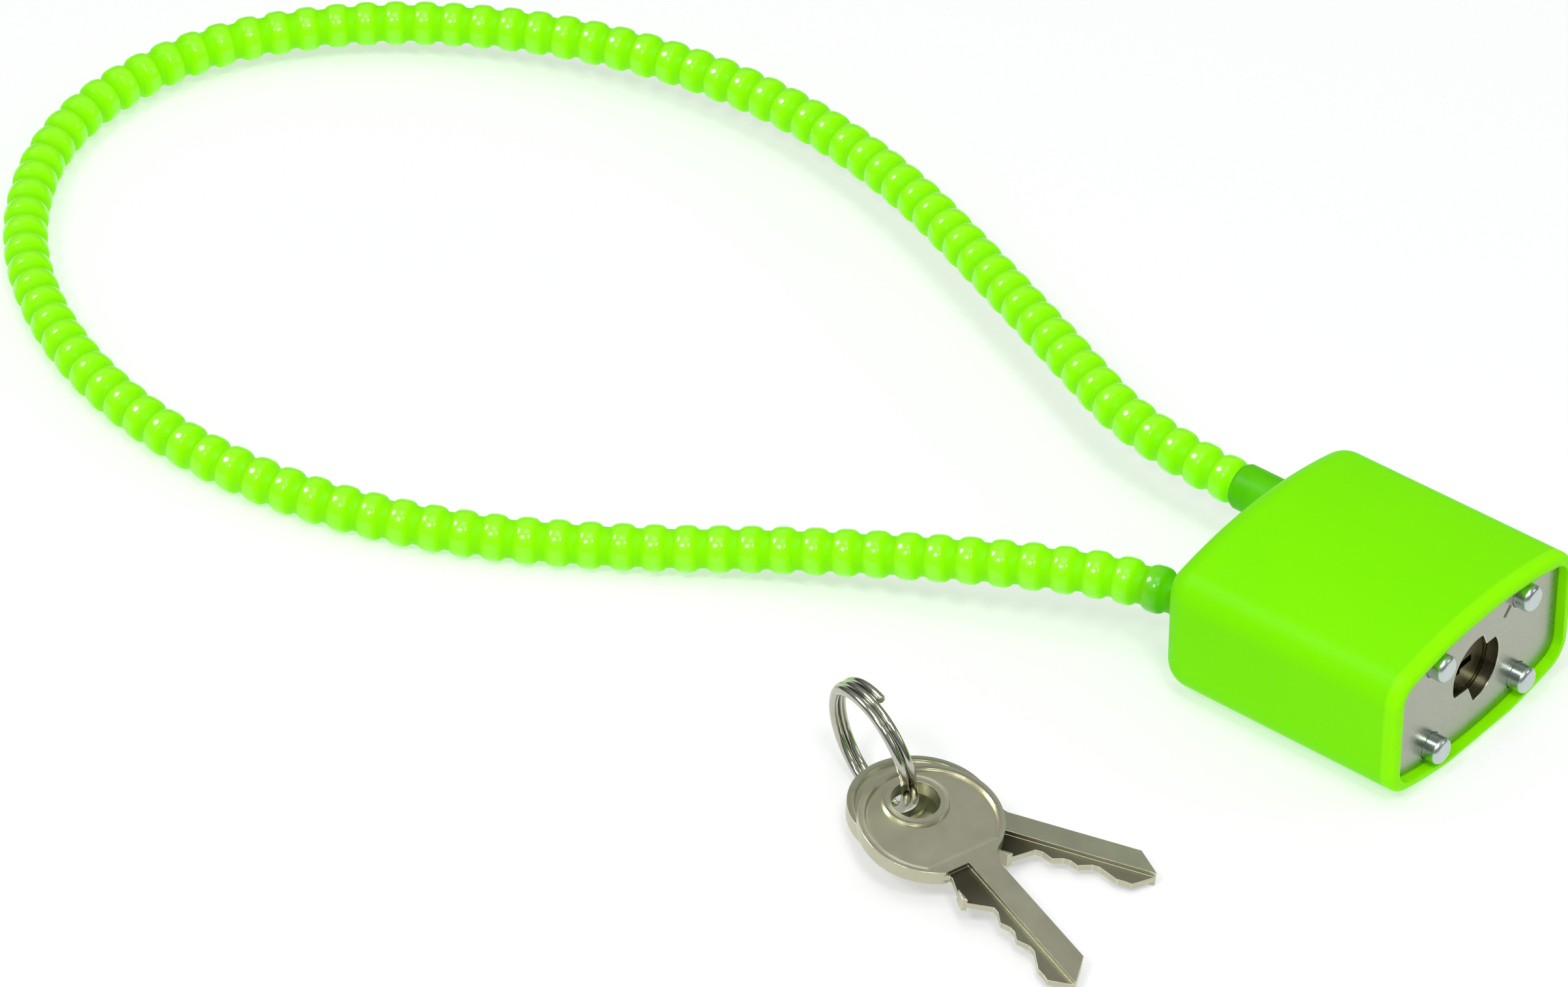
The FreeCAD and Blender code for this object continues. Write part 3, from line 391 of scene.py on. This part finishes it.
def line_through(name, points):
    """Points along a smooth curve whose control points are the route."""
    data = bpy.data.curves.new(name, "CURVE")
    data.dimensions = "3D"
    spline = data.splines.new("NURBS")
    spline.points.add(len(points) - 1)
    for point, place in zip(spline.points, points):
        point.co = (*place, 1.0)
    spline.order_u = 3
    spline.use_endpoint_u = True
    spline.resolution_u = 48
    holder = placed(name, data)
    mesh = bpy.data.meshes.new_from_object(holder)
    line = [vertex.co.copy() for vertex in mesh.vertices]
    bpy.data.objects.remove(holder)
    bpy.data.meshes.remove(mesh)
    return line


centre_line = line_through("cable_route", ROUTE)
reaches = [0.0]
for near, far in zip(centre_line, centre_line[1:]):
    reaches.append(reaches[-1] + (far - near).length)
cable_length = reaches[-1]
print(f"cable: {len(centre_line)} points, {cable_length:.4f} m")

# %% Places on the cable
def on_cable(distance):
    """Place, heading, sideways and upward directions at a distance from the cable's captive end."""
    low, high = 0, len(reaches) - 1
    while high - low > 1:
        half = (low + high) // 2
        if reaches[half] <= distance:
            low = half
        else:
            high = half
    near, far = centre_line[low], centre_line[high]
    share = (distance - reaches[low]) / max(reaches[high] - reaches[low], 1e-9)
    heading = (far - near).normalized()
    side = heading.cross(Vector((0.0, 0.0, 1.0))).normalized()
    return near.lerp(far, share), heading, side, side.cross(heading)


def band(ring, following, around):
    """The faces between two rings of points."""
    return [(ring * around + step, ring * around + (step + 1) % around,
             following * around + (step + 1) % around, following * around + step) for step in range(around)]


def built(name, points, faces, grooves=()):
    """A piece made of its points and faces. It may remember how deep in a groove each point is."""
    mesh = bpy.data.meshes.new(name)
    mesh.from_pydata(points, [], faces)
    if grooves:
        mesh.attributes.new("groove", "FLOAT", "POINT").data.foreach_set("value", grooves)
    piece = placed(name, mesh)
    outward(piece)
    return piece


print("cable starts towards", [round(value, 3) for value in on_cable(0.0)[1]])

# %% [markdown]
# The sleeve is soft vinyl, moulded in ribs about 4 mm apart. Each rib is round, with a narrow valley
# before the next, and it is a little different from its neighbours. A bevelled curve would give a plain
# tube and an array would repeat one rib exactly, so the tube is built ring by ring from a profile. Every
# ring remembers how deep in a groove it is, which the material uses to paint shade into the grooves.

# %% Ribbed sleeve
RIBS = 107
SLEEVE_AROUND = 28
BORE_RINGS = 160
RIDGE, VALLEY, BORE = 3.0 * MM, 2.40 * MM, 1.6 * MM
# How uneven the ribs are: shares of the radius and of the pitch, and a lean and how fast it goes round
SWELL, SHIFT, LEAN, LEAN_TURN = 0.010, 0.03, 0.05 * MM, 900
# Share of the pitch, and share of the height from valley to ridge
RIB_PROFILE = [
    (0.00, 0.00), (0.08, 0.01), (0.13, 0.10), (0.18, 0.36), (0.23, 0.63), (0.30, 0.85), (0.39, 0.96),
    (0.50, 1.00), (0.61, 0.96), (0.70, 0.85), (0.77, 0.63), (0.82, 0.36), (0.87, 0.10), (0.92, 0.01),
]


def wobble(number, seed):
    """A small fixed unevenness between -1 and 1, the same on every run."""
    return math.sin(number * 12.9898 + seed * 78.233) * 0.6 + math.sin(number * 4.137 + seed * 3.7) * 0.4


def tube(name, stations, around):
    """A closed tube through rings given as (distance, radius, depth, lean). Its ends turn in to a bore."""
    points, faces, depths = [], [], []
    for distance, radius, depth, lean in stations:
        place, heading, side, lift = on_cable(min(max(distance, 0.0), cable_length))
        for step in range(around):
            angle = 2 * math.pi * step / around
            out = side * math.cos(angle) + lift * math.sin(angle)
            points.append(place + out * radius + heading * (lean * math.cos(angle + distance * LEAN_TURN)))
            depths.append(depth)
    for ring in range(len(stations)):
        faces += band(ring, (ring + 1) % len(stations), around)
    return built(name, points, faces, depths)


pitch = cable_length / RIBS
stations = [(0.0, BORE, 1.0, 0.0), (0.0, VALLEY, 1.0, 0.0)]
for rib in range(RIBS):
    free = 1.0 if 0 < rib < RIBS - 1 else 0.0
    swell = 1.0 + SWELL * wobble(rib, 1)
    shift = SHIFT * wobble(rib, 2) * free
    lean = LEAN * wobble(rib, 3) * free
    for share, rise in RIB_PROFILE:
        if rib == 0 and share == 0.0:
            continue
        distance = (rib + share + (shift if share > 0.0 else 0.0)) * pitch
        radius = VALLEY + (RIDGE - VALLEY) * rise * (swell if rise > 0.5 else 1.0)
        stations.append((distance, min(radius, RIDGE), 1.0 - rise, lean * rise))
stations += [(cable_length, VALLEY, 1.0, 0.0), (cable_length, BORE, 1.0, 0.0)]
stations += [(cable_length * ring / BORE_RINGS, BORE, 1.0, 0.0) for ring in range(BORE_RINGS - 1, 0, -1)]
sleeve = tube("sleeve", stations, SLEEVE_AROUND)
smooth(sleeve, 60)
print("sleeve faces:", len(sleeve.data.polygons))

# %% [markdown]
# Fluorescent vinyl looks lit from inside: it turns blue and violet light into green, so even its shaded
# side stays bright. Subsurface light could show that, but a little emission of the vinyl's own colour is
# quicker and also holds in other programs. The grooves are painted darker and glow less, as painted shade,
# and so are the last few ribs before the lock. A thin gloss coat on the ribs, and none in the grooves,
# gives small sharp glints.

# %% Vinyl finish
HEEL_SHADE_END, HEEL_SHADE_SOFT = 0.0235, 0.006

vinyl = Finish("sleeve_vinyl", IOR=1.5, Specular_IOR_Level=0.05, Emission_Strength=0.33,
               Coat_Roughness=0.18)
groove = vinyl.mesh_value("groove")
cloud = vinyl.noise(140.0, 3.0)
fine = vinyl.noise(2600.0, 2.0)
# Painted shade: the last ribs before the lock are darker and glow less.
heel_painted_shade = 1 - vinyl.axis("Y").above(HEEL_SHADE_END, HEEL_SHADE_SOFT)
skin = vinyl.colours(cloud, (0.270, 0.78, 0.000), (0.340, 0.82, 0.000))
# Painted shade: the grooves are darker.
skin = vinyl.colours(groove ** 1.6 * 0.35, skin, (0.120, 0.60, 0.000))
skin = vinyl.colours(heel_painted_shade * 0.75, skin, (0.035, 0.36, 0.000))
# Painted shade: the glow is dimmer in the grooves and on the last ribs before the lock.
glow = vinyl.colours(groove ** 1.6 * 0.45, (0.060, 0.75, 0.000), (0.020, 0.42, 0.000))
glow = vinyl.colours(heel_painted_shade * 0.75, glow, (0.010, 0.25, 0.000))
vinyl.feed(Base_Color=skin, Emission_Color=glow,
           Roughness=(0.32 + fine * 0.16).clamp(), Coat_Weight=(1.0 - groove * 3.0).clamp(),
           Normal=vinyl.bump(fine, 0.008 * MM, 0.4))
wear(sleeve, vinyl.material)
print("vinyl nodes:", len(vinyl.tree.nodes))

# %% [markdown]
# Inside the sleeve runs a steel wire rope of six strands. It only shows when the pieces are taken apart.
# Six separate strands would cost many faces that nobody sees, so it is one section of six lobes that
# turns as it goes along.

# %% Wire rope
ROPE_RADIUS, ROPE_LAY, STRANDS = 1.5 * MM, 18 * MM, 6
ROPE_RINGS, ROPE_AROUND = 900, 24

rope_points, rope_faces = [], []
for ring in range(ROPE_RINGS + 1):
    place, heading, side, lift = on_cable(cable_length * ring / ROPE_RINGS)
    twist = 2 * math.pi * cable_length * ring / ROPE_RINGS / ROPE_LAY
    for step in range(ROPE_AROUND):
        angle = 2 * math.pi * step / ROPE_AROUND
        lobe = abs(math.cos(STRANDS / 2 * (angle - twist)))
        radius = ROPE_RADIUS * (0.80 + 0.20 * lobe ** 0.5)
        rope_points.append(place + (side * math.cos(angle) + lift * math.sin(angle)) * radius)
for ring in range(ROPE_RINGS):
    rope_faces += band(ring, ring + 1, ROPE_AROUND)
rope_faces.append(tuple(range(ROPE_AROUND))[::-1])
rope_faces.append(tuple(range(ROPE_RINGS * ROPE_AROUND, (ROPE_RINGS + 1) * ROPE_AROUND)))
rope = built("rope", rope_points, rope_faces)
smooth(rope, 50)

galvanised = Finish("rope_wire", Metallic=1.0, Roughness=0.35)
strand = galvanised.noise(3000.0, 2.0)
galvanised.feed(Base_Color=galvanised.colours(strand, (0.40, 0.41, 0.42), (0.62, 0.63, 0.64)),
                Roughness=(0.28 + strand * 0.2).clamp())
wear(rope, galvanised.material)
print("rope faces:", len(rope.data.polygons))

# %% [markdown]
# One end of the cable is fast in the lock and the other leaves it with the collar. The sleeve and the rope
# stand in for their solids, which are hidden, and keep their places in their meshes.

# %% Cable in place of its solids
for piece, node in ((sleeve, "ribbed_sleeve"), (rope, "wire_rope")):
    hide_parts(node)
    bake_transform(piece)
print("cable exit", ROUTE[0])

# %% [markdown]
# The jacket is one moulding of fluorescent plastic. Its faces are almost smooth, with a faint unevenness
# from the mould that only shows in the highlights. It glows a little in its own colour, painted light that
# keeps its shaded sides bright, and its rounded lip is painted lighter and glows more, a painted highlight.
# The lip is found by its place along the body, so it needs no material of its own.

# %% Jacket finish
LIP_EDGE, LIP_SOFT = -0.0159, 0.0006

# Painted light: the jacket glows a little in its own colour, which keeps its shaded sides bright.
lime = Finish("jacket_plastic", IOR=1.47, Specular_IOR_Level=0.05, Emission_Strength=0.13)
cloud = lime.noise(60.0, 3.0)
mottle = lime.noise(420.0, 3.0)
pores = lime.noise(4200.0, 2.0)
lip = 1 - lime.axis("Y").above(LIP_EDGE, LIP_SOFT)
skin = lime.colours(cloud, (0.196, 0.78, 0.000), (0.226, 0.82, 0.000))
# Painted highlight: the lip is lighter and glows more.
skin = lime.colours(lip * 0.7, skin, (0.300, 0.93, 0.000))
glow = lime.colours(lip * 0.7, (0.090, 0.78, 0.000), (0.200, 0.95, 0.000))
lime.feed(Base_Color=skin, Emission_Color=glow, Roughness=(0.38 + mottle * 0.14).clamp(),
          Normal=lime.bump(pores, 0.012 * MM, 0.5,
                           lime.bump(mottle, 0.03 * MM, 0.35, lime.bump(lip, 0.06 * MM, 1.0))))
wear(nodes["jacket"], lime.material)
print("jacket nodes:", len(lime.tree.nodes))

# %% [markdown]
# The collar is a smooth plastic cap on the sleeve's end, in a darker and duller green with fine pores. Its
# colour also feeds a faint emission, for the same reason as on the sleeve.

# %% Collar finish
collar = Finish("collar_plastic", IOR=1.48, Specular_IOR_Level=0.09, Emission_Strength=0.10)
cloud = collar.noise(330.0, 4.0)
pores = collar.noise(3600.0, 2.0)
collar_green = collar.colours(cloud, (0.065, 0.45, 0.000), (0.120, 0.60, 0.000))
collar.feed(Base_Color=collar_green, Emission_Color=collar_green,
            Roughness=(0.34 + cloud * 0.16).clamp(), Normal=collar.bump(pores, 0.02 * MM, 0.5))
wear(nodes["toe_collar"], collar.material)
print("collar nodes:", len(collar.tree.nodes))

# %% [markdown]
# The plate over the cylinder is stainless sheet, polished and then scuffed by keys. An image of scratches
# would repeat and blur, so they come from noise that is squeezed along one axis. Broad smudges change the
# tone and how sharp the reflection is. The other metals of the lock differ only in colour, gloss and the
# way of their streaks, so one function makes them all.

# %% Metal finishes
RUB_X, RUB_Z = 5.9 * MM, 15.6 * MM
RUB_HALF_LENGTH, RUB_HALF_WIDTH = 0.85 * MM, 0.36 * MM
DIAGONAL = 0.707


def scratched(name, dark, light, roughness, streak, depth, mark=None):
    """A rolled or polished metal: streaks along one axis, broad smudges, and a fine grain."""
    finish = Finish(name, Metallic=1.0)
    streaks = finish.noise(1.0, 4.0, roughness=0.65, where=finish.stretched(*streak))
    smudge = finish.noise(260.0, 3.0)
    grain = finish.noise(5200.0, 2.0)
    rubbed = finish.mesh_value("rubbed")
    tone = (streaks * 0.5 + smudge * 0.5).clamp()
    shine = tuple(min(1.0, value * 1.25) for value in light)
    colour = finish.colours(rubbed * 0.8, finish.colours(tone, dark, light), shine)
    if mark is not None:
        colour = finish.colours(mark(finish) * 0.85, colour, (0.04, 0.03, 0.03))
    finish.feed(Base_Color=colour,
                Roughness=(roughness + (smudge - 0.5) * 0.22 + (streaks - 0.5) * 0.16
                           - rubbed * 0.08).clamp(0.05, 0.9),
                Normal=finish.bump(streaks * 0.7 + grain * 0.3, depth, 0.6))
    return finish.material


def rub_mark(finish):
    """A short dark rub on the plate, slanting down from beside an upper rivet."""
    x, z = finish.axis("X") - RUB_X, finish.axis("Z") - RUB_Z
    along, across = abs((x + z) * DIAGONAL), abs((x - z) * DIAGONAL)
    return (1 - along.above(RUB_HALF_LENGTH, 0.3 * MM)) * (1 - across.above(RUB_HALF_WIDTH, 0.14 * MM))


stainless = scratched("plate_stainless", (0.32, 0.335, 0.27), (0.455, 0.465, 0.395), 0.27,
                      (500.0, 500.0, 5200.0), 0.008 * MM, mark=rub_mark)
rolled = scratched("core_rolled_steel", (0.30, 0.30, 0.30), (0.50, 0.50, 0.49), 0.40,
                   (4200.0, 900.0, 500.0), 0.02 * MM)
zinc = scratched("rivet_zinc", (0.46, 0.53, 0.52), (0.63, 0.70, 0.69), 0.29,
                 (1300.0, 1300.0, 1300.0), 0.003 * MM)
# Painted shade: the cylinder's brass is far darker than the pins' brass, for the shade of the recess behind
# the plate.
shaded_brass = scratched("cylinder_brass", (0.050, 0.038, 0.013), (0.14, 0.107, 0.040), 0.34,
                         (1200.0, 5200.0, 1200.0), 0.015 * MM)
pin_brass = scratched("pin_brass", (0.45, 0.32, 0.13), (0.68, 0.50, 0.24), 0.28,
                      (5200.0, 1500.0, 1500.0), 0.01 * MM)
ground = scratched("ground_steel", (0.42, 0.42, 0.42), (0.60, 0.60, 0.59), 0.30,
                   (900.0, 5200.0, 900.0), 0.012 * MM)
spring_wire = scratched("spring_wire", (0.26, 0.27, 0.29), (0.46, 0.47, 0.50), 0.34,
                        (5200.0, 5200.0, 900.0), 0.03 * MM)

# %% [markdown]
# Most solids inside the lock are shown as they are, so each gets the material of what it is made of. The
# ones that a finer piece stands for later are dressed too, so that the solids look right by themselves.

# %% Finishes of the solids
LAMINATIONS = range(1, 11)
ONE_TO_FOUR = range(1, 5)
FINISH_OF = {
    "end_plate": (stainless, "plate_steel"), "cylinder_housing": (shaded_brass, "brass"),
    "plug": (shaded_brass, "brass"), "chamber_cover": (shaded_brass, "brass"),
    "cam_disc": (ground, "hard_steel"), "locking_dog": (ground, "hard_steel"),
    "toe_stud": (ground, "hard_steel"), "heel_ferrule": (ground, "hard_steel"),
}
for number in LAMINATIONS:
    FINISH_OF[f"lamination_{number:02d}"] = (rolled, "core_steel")
for number in ONE_TO_FOUR:
    FINISH_OF[f"rivet_{number}"] = (zinc, "zinc_rivet")
    FINISH_OF[f"key_pin_{number}"] = (pin_brass, "brass")
    FINISH_OF[f"driver_pin_{number}"] = (pin_brass, "brass")
for node, (material, slot) in FINISH_OF.items():
    wear(nodes[node], material)
print("metal solids:", len(FINISH_OF))

# %% [markdown]
# Some solids have just the right form and only lack the small things that tools leave: a rounded edge, a
# soft coined corner. Modelling them anew would only repeat the solid. So a copy of it is merged and its
# flats are made whole, and then a Bevel modifier breaks every edge and weighted normals keep the flats
# flat. The jacket and the collar have their rounding already and only get the smooth shading.

# %% Copies with broken edges
FLAT_WITHIN, SHARPER_THAN, SMOOTH_BELOW = 0.3, 24, 38   # degrees
BEVELLED = 1   # the material index that marks a bevel's faces until the piece gets its one material


def broken_edges(name, node, body, width, material, steps=2):
    """A merged copy of a solid with every edge rounded, which stands for that solid."""
    piece = placed(name, nodes[node].data.copy())
    piece.data.name = name
    outward(piece)
    bpy.ops.object.mode_set(mode="EDIT")
    bpy.ops.mesh.select_all(action="SELECT")
    bpy.ops.mesh.dissolve_limited(angle_limit=math.radians(FLAT_WITHIN))
    bpy.ops.object.mode_set(mode="OBJECT")
    if width:
        piece.data.materials.append(material)
        piece.data.materials.append(material)
        for face in piece.data.polygons:
            face.material_index = 0
        modify(piece, "BEVEL", width=width, segments=steps, limit_method="ANGLE", material=BEVELLED,
               angle_limit=math.radians(SHARPER_THAN), use_clamp_overlap=True, miter_outer="MITER_ARC")
    rubbed = [float(face.material_index == BEVELLED) for face in piece.data.polygons]
    piece.data.attributes.new("rubbed", "FLOAT", "FACE").data.foreach_set("value", rubbed)
    smooth(piece, SMOOTH_BELOW)
    modify(piece, "WEIGHTED_NORMAL", keep_sharp=True, weight=80)
    wear(piece, material)
    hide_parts(node)
    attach(piece, body)
    print(name, "faces:", len(piece.data.polygons))
    return piece


broken_edges("plate", "end_plate", "lock", 0.12 * MM, stainless)
broken_edges("shell", "jacket", "lock", 0.0, lime.material)
broken_edges("collar", "toe_collar", "toe", 0.0, collar.material)
broken_edges("turning_plug", "plug", "plug", 0.07 * MM, shaded_brass)
broken_edges("barrel", "cylinder_housing", "lock", 0.07 * MM, shaded_brass)
broken_edges("stud", "toe_stud", "toe", 0.10 * MM, ground)

# %% [markdown]
# The four rivets are zinc plated pins. Each tail was cut and tumbled, so its rim is round and its end is
# a little hollow. A profile could be spun, but a cylinder is quicker: its end is inset and pressed in,
# and its rim is bevelled wide. A flat head is joined on at the back, and four copies go to their places.

# %% Rivets
RIVET_AROUND = 64
RIVET_RADIUS, HEAD_RADIUS, HEAD_DEPTH = 1.75 * MM, 1.95 * MM, 1.0 * MM
RIM_ROUNDING, HEAD_ROUNDING = 0.75 * MM, 0.1 * MM
HOLLOW = [(0.80 * MM, 0.03 * MM), (0.40 * MM, 0.02 * MM)]   # how far each ring is inset and pressed in
RIM_WITHIN = 1e-6


def rod(name, radius, low, high):
    """A cylinder along Y between two places."""
    deselect()
    bpy.ops.mesh.primitive_cylinder_add(vertices=RIVET_AROUND, radius=radius, depth=high - low,
                                        location=(0.0, (low + high) / 2, 0.0),
                                        rotation=(math.pi / 2, 0.0, 0.0))
    piece = added(name)
    settle(piece)
    return piece


tail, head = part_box("rivet_1")[0].y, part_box("rivet_1")[1].y
rivet = rod("rivet", RIVET_RADIUS, tail, head)
select_faces(rivet, lambda centre, normal: normal.y < -0.9)
for inset, press in HOLLOW:
    bpy.ops.mesh.inset(thickness=inset)
    bpy.ops.transform.translate(value=(0.0, press, 0.0))
outward(rivet)
select_edges(rivet, lambda one, two: max(one.y, two.y) < tail + RIM_WITHIN
             and min(one.xz.length, two.xz.length) > RIVET_RADIUS * 0.98)
bpy.ops.mesh.bevel(offset=RIM_ROUNDING, segments=8, profile=0.5, affect="EDGES")
rivet_head = rod("rivet_head", HEAD_RADIUS, head - HEAD_DEPTH, head)
modify(rivet_head, "BEVEL", width=HEAD_ROUNDING, segments=2, limit_method="ANGLE")
pick(rivet)
rivet_head.select_set(True)
bpy.ops.object.join()
smooth(rivet, 45)
modify(rivet, "WEIGHTED_NORMAL", keep_sharp=True)
for number in ONE_TO_FOUR:
    low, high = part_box(f"rivet_{number}")
    one = placed(f"rivet_pin_{number}", rivet.data.copy())
    one.location = ((low.x + high.x) / 2, 0.0, (low.z + high.z) / 2)
    settle(one)
    wear(one, zinc)
    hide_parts(f"rivet_{number}")
    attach(one, "lock")
bpy.data.objects.remove(rivet)
print("rivets:", len(ONE_TO_FOUR), "tail at", round(tail / MM, 2), "mm, faces:", len(one.data.polygons))

# %% [markdown]
# The keys are stamped from thick sheet. The press coined a shallow round field into the bow on both
# faces, with a raised eye round the hole, and every edge came out a little soft. Nickel plate has a warm
# grey colour, and it is brighter where pockets and locks have rubbed the edges. The solid has the sunk
# field and the groove already. The material finds both again by distances on the key's own axes, in
# millimetres, which the mesh carries: a bump along the field's edge catches the light, and the groove
# is painted dark, as painted shade.

# %% Key finish
FIELD_MIDDLE, FIELD_RADIUS, FIELD_END, EYE_RADIUS, FIELD_STEP = 3.35, 7.95, 9.6, 3.95, 0.9
GROOVE_START, GROOVE_MIDDLE, GROOVE_HALF, WEB_HALF, GROOVE_SOFT = 11.3, -2.0, 1.75, 0.4, 0.3

nickel = Finish("key_nickel", Metallic=1.0)
key_place = nickel.mesh_value("key_place", "Vector")
along, across, through = (nickel.part(key_place, letter) for letter in "XYZ")


def far_from(x, y):
    """Distance in millimetres on the key's face from a point on it."""
    return nickel.make("ShaderNodeVectorMath", {"operation": "LENGTH"}, {
        0: nickel.make("ShaderNodeCombineXYZ", {}, {0: along - x, 1: across - y})}, "Value")


inside_field = (FIELD_RADIUS - far_from(FIELD_MIDDLE, 0.0)).lesser(FIELD_END - along)
inside_field = inside_field.lesser(far_from(0.0, 0.0) - EYE_RADIUS)
coined = inside_field.above(0.0, FIELD_STEP)
off_middle, depth_at = abs(across - GROOVE_MIDDLE), abs(through)
in_groove = (along.above(GROOVE_START, GROOVE_SOFT) * (1 - off_middle.above(GROOVE_HALF, GROOVE_SOFT))
             * depth_at.above(WEB_HALF - 0.04, 0.02) * (1 - depth_at.above(WEB_HALF + 0.25, 0.4)))
smudge = nickel.noise(230.0, 4.0)
grain = nickel.noise(5200.0, 2.0)
dents = nickel.noise(90.0, 1.0)
scuffs = nickel.noise(1.0, 4.0, roughness=0.7, where=nickel.stretched(2600.0, 500.0, 500.0))
rubbed = nickel.mesh_value("rubbed")
face_colour = nickel.colours((smudge * 0.7 + scuffs * 0.3).clamp(), (0.45, 0.44, 0.31), (0.58, 0.57, 0.42))
# Painted shade: the groove is darkened, less towards the tip.
face_colour = nickel.colours(in_groove * (0.95 - along.above(19.0, 12.0) * 0.35), face_colour,
                             (0.035, 0.032, 0.016))
face_colour = nickel.colours(rubbed * 0.75, face_colour, (0.74, 0.73, 0.61))
nickel.feed(Base_Color=face_colour,
            Roughness=(0.34 + (smudge - 0.5) * 0.20 + in_groove * 0.20 - rubbed * 0.14).clamp(0.05, 0.9),
            Normal=nickel.bump(scuffs * 0.4 + grain * 0.6, 0.008 * MM, 0.6,
                               nickel.bump(dents * 0.5 + coined, 0.16 * MM, 0.9)))
print("key finish nodes:", len(nickel.tree.nodes))

# %% [markdown]
# Each key is a copy of its solid with wider broken edges than the plate has. Every point of it then
# learns where it is on the flat key, measured from the hole, because the two keys lie at different
# angles.

# %% Keys
# The hole's middle in millimetres, then the heading and the tilt in degrees
KEY_PLACES = {1: ((-58.70, 22.37, 6.10), -105.7, 8.9), 2: ((-57.69, 26.43, 3.65), -69.4, 4.6)}
for number, (eye, heading, tilt) in KEY_PLACES.items():
    key = broken_edges(f"stamped_key_{number}", f"key_{number}", f"key_{number}", 0.13 * MM,
                       nickel.material, steps=3)
    to_key = (Matrix.Translation(Vector(eye) * MM) @ Matrix.Rotation(math.radians(heading), 4, "Z")
              @ Matrix.Rotation(math.radians(tilt), 4, "Y")).inverted()
    places = key.data.attributes.new("key_place", "FLOAT_VECTOR", "POINT")
    for index, vertex in enumerate(key.data.vertices):
        places.data[index].vector = to_key @ vertex.co / MM
    print("key", number, "thickness", round(max(abs(item.vector.z) for item in places.data) * 2, 2), "mm")

# %% [markdown]
# Spring wire is wound round an axis. A curve with a bevel could follow a helix, but a Screw modifier
# winds a small oval section in one step, and only the two open ends have to be closed. Four springs push
# the driver pins and one pushes the locking dog.

# %% Springs
SPRING_WIRE, SPRING_SIDES, STEPS_PER_TURN = 0.32 * MM, 8, 20
# Node, the bodies at its low and high ends, and the distance from turn to turn
SPRINGS = [(f"pin_spring_{number}", f"driver_pin_{number}", "lock", 0.80 * MM) for number in ONE_TO_FOUR]
SPRINGS.append(("dog_spring", "lock", "dog", 0.40 * MM))


def wound_wire(name, radius, half_wide, half_high, sides, swept, rise, steps):
    """Oval wire wound upwards round Z, with the middle of its first end at height 0."""
    deselect()
    bpy.ops.mesh.primitive_circle_add(vertices=sides, radius=1.0, fill_type="NOTHING",
                                      rotation=(math.pi / 2, 0.0, 0.0))
    wire = added(name)
    wire.scale = (half_wide, half_high, 1.0)
    wire.location = (radius, 0.0, 0.0)
    settle(wire)
    modify(wire, "SCREW", axis="Z", angle=swept, steps=steps, render_steps=steps, screw_offset=rise,
           use_smooth_shade=True)
    first_end = sum(wire.data.vertices[index].co.z for index in range(sides)) / sides
    wire.location = (0.0, 0.0, -first_end)
    settle(wire)
    bpy.ops.object.mode_set(mode="EDIT")
    bpy.ops.mesh.select_mode(type="EDGE")
    bpy.ops.mesh.select_all(action="DESELECT")
    bpy.ops.mesh.select_non_manifold()
    bpy.ops.mesh.edge_face_add()
    bpy.ops.object.mode_set(mode="OBJECT")
    print(name, "closed ends:", sum(1 for face in wire.data.polygons if len(face.vertices) > 4))
    outward(wire)
    return wire


for node, low_body, high_body, spacing in SPRINGS:
    low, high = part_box(node)
    middle, half = (low + high) / 2, (high.x - low.x - SPRING_WIRE) / 2
    turns = round(2 * half / spacing * 4) / 4   # to the nearest quarter turn
    coil = wound_wire(f"{node}_coil", (high.y - low.y - SPRING_WIRE) / 2, SPRING_WIRE / 2, SPRING_WIRE / 2,
                      SPRING_SIDES, 2 * math.pi * turns, 2 * half, round(turns * STEPS_PER_TURN))
    first, last = middle - Vector((half, 0.0, 0.0)), middle + Vector((half, 0.0, 0.0))
    coil.matrix_world = Matrix.Translation(first) @ Matrix.Rotation(math.pi / 2, 4, "Y")
    settle(coil)
    smooth(coil, 50)
    wear(coil, spring_wire)
    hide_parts(node)
    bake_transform(coil)
    print(node, "length", round((high.x - low.x) / MM, 2), "mm, turns", turns)

# %% [markdown]
# A split ring is the same kind of wire wound a little over twice and pressed flat, with blunt ends that lie
# over the other turns. The same helper winds it, and a wide bevel rounds the ends.

# %% Split ring
RING_RADIUS, RING_HALF, RING_FLAT = 8.0 * MM, 0.60 * MM, 0.52 * MM
RING_SIDES, RING_STEPS, END_ROUNDING = 24, 300, 0.22 * MM
FIRST_TURN, LAST_TURN, RING_PITCH, RING_LOW = -216.0, 551.0, 1.12 * MM, -0.93 * MM
RING_PLACE, RING_HEADING, RING_TILT = (-55.48 * MM, 30.98 * MM, 8.75 * MM), -17.0, 83.2

swept = math.radians(LAST_TURN - FIRST_TURN)
ring = wound_wire("ring", RING_RADIUS, RING_HALF, RING_FLAT, RING_SIDES, swept,
                  RING_PITCH * swept / (2 * math.pi), RING_STEPS)
modify(ring, "BEVEL", width=END_ROUNDING, segments=4, limit_method="ANGLE", angle_limit=math.radians(55))
smooth(ring, 60)
ring.matrix_world = (Matrix.Translation(RING_PLACE)
                     @ Matrix.Rotation(math.radians(RING_HEADING), 4, "Z")
                     @ Matrix.Rotation(math.radians(RING_TILT), 4, "Y")
                     @ Matrix.Translation((0.0, 0.0, RING_LOW + RING_PITCH * FIRST_TURN / 360.0))
                     @ Matrix.Rotation(math.radians(FIRST_TURN), 4, "Z"))
settle(ring)
bright = scratched("ring_nickel", (0.36, 0.36, 0.29), (0.60, 0.60, 0.52), 0.12,
                   (1200.0, 1200.0, 1200.0), 0.006 * MM)
wear(ring, bright)
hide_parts("split_ring")
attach(ring, "key_set")
print("ring faces:", len(ring.data.polygons))
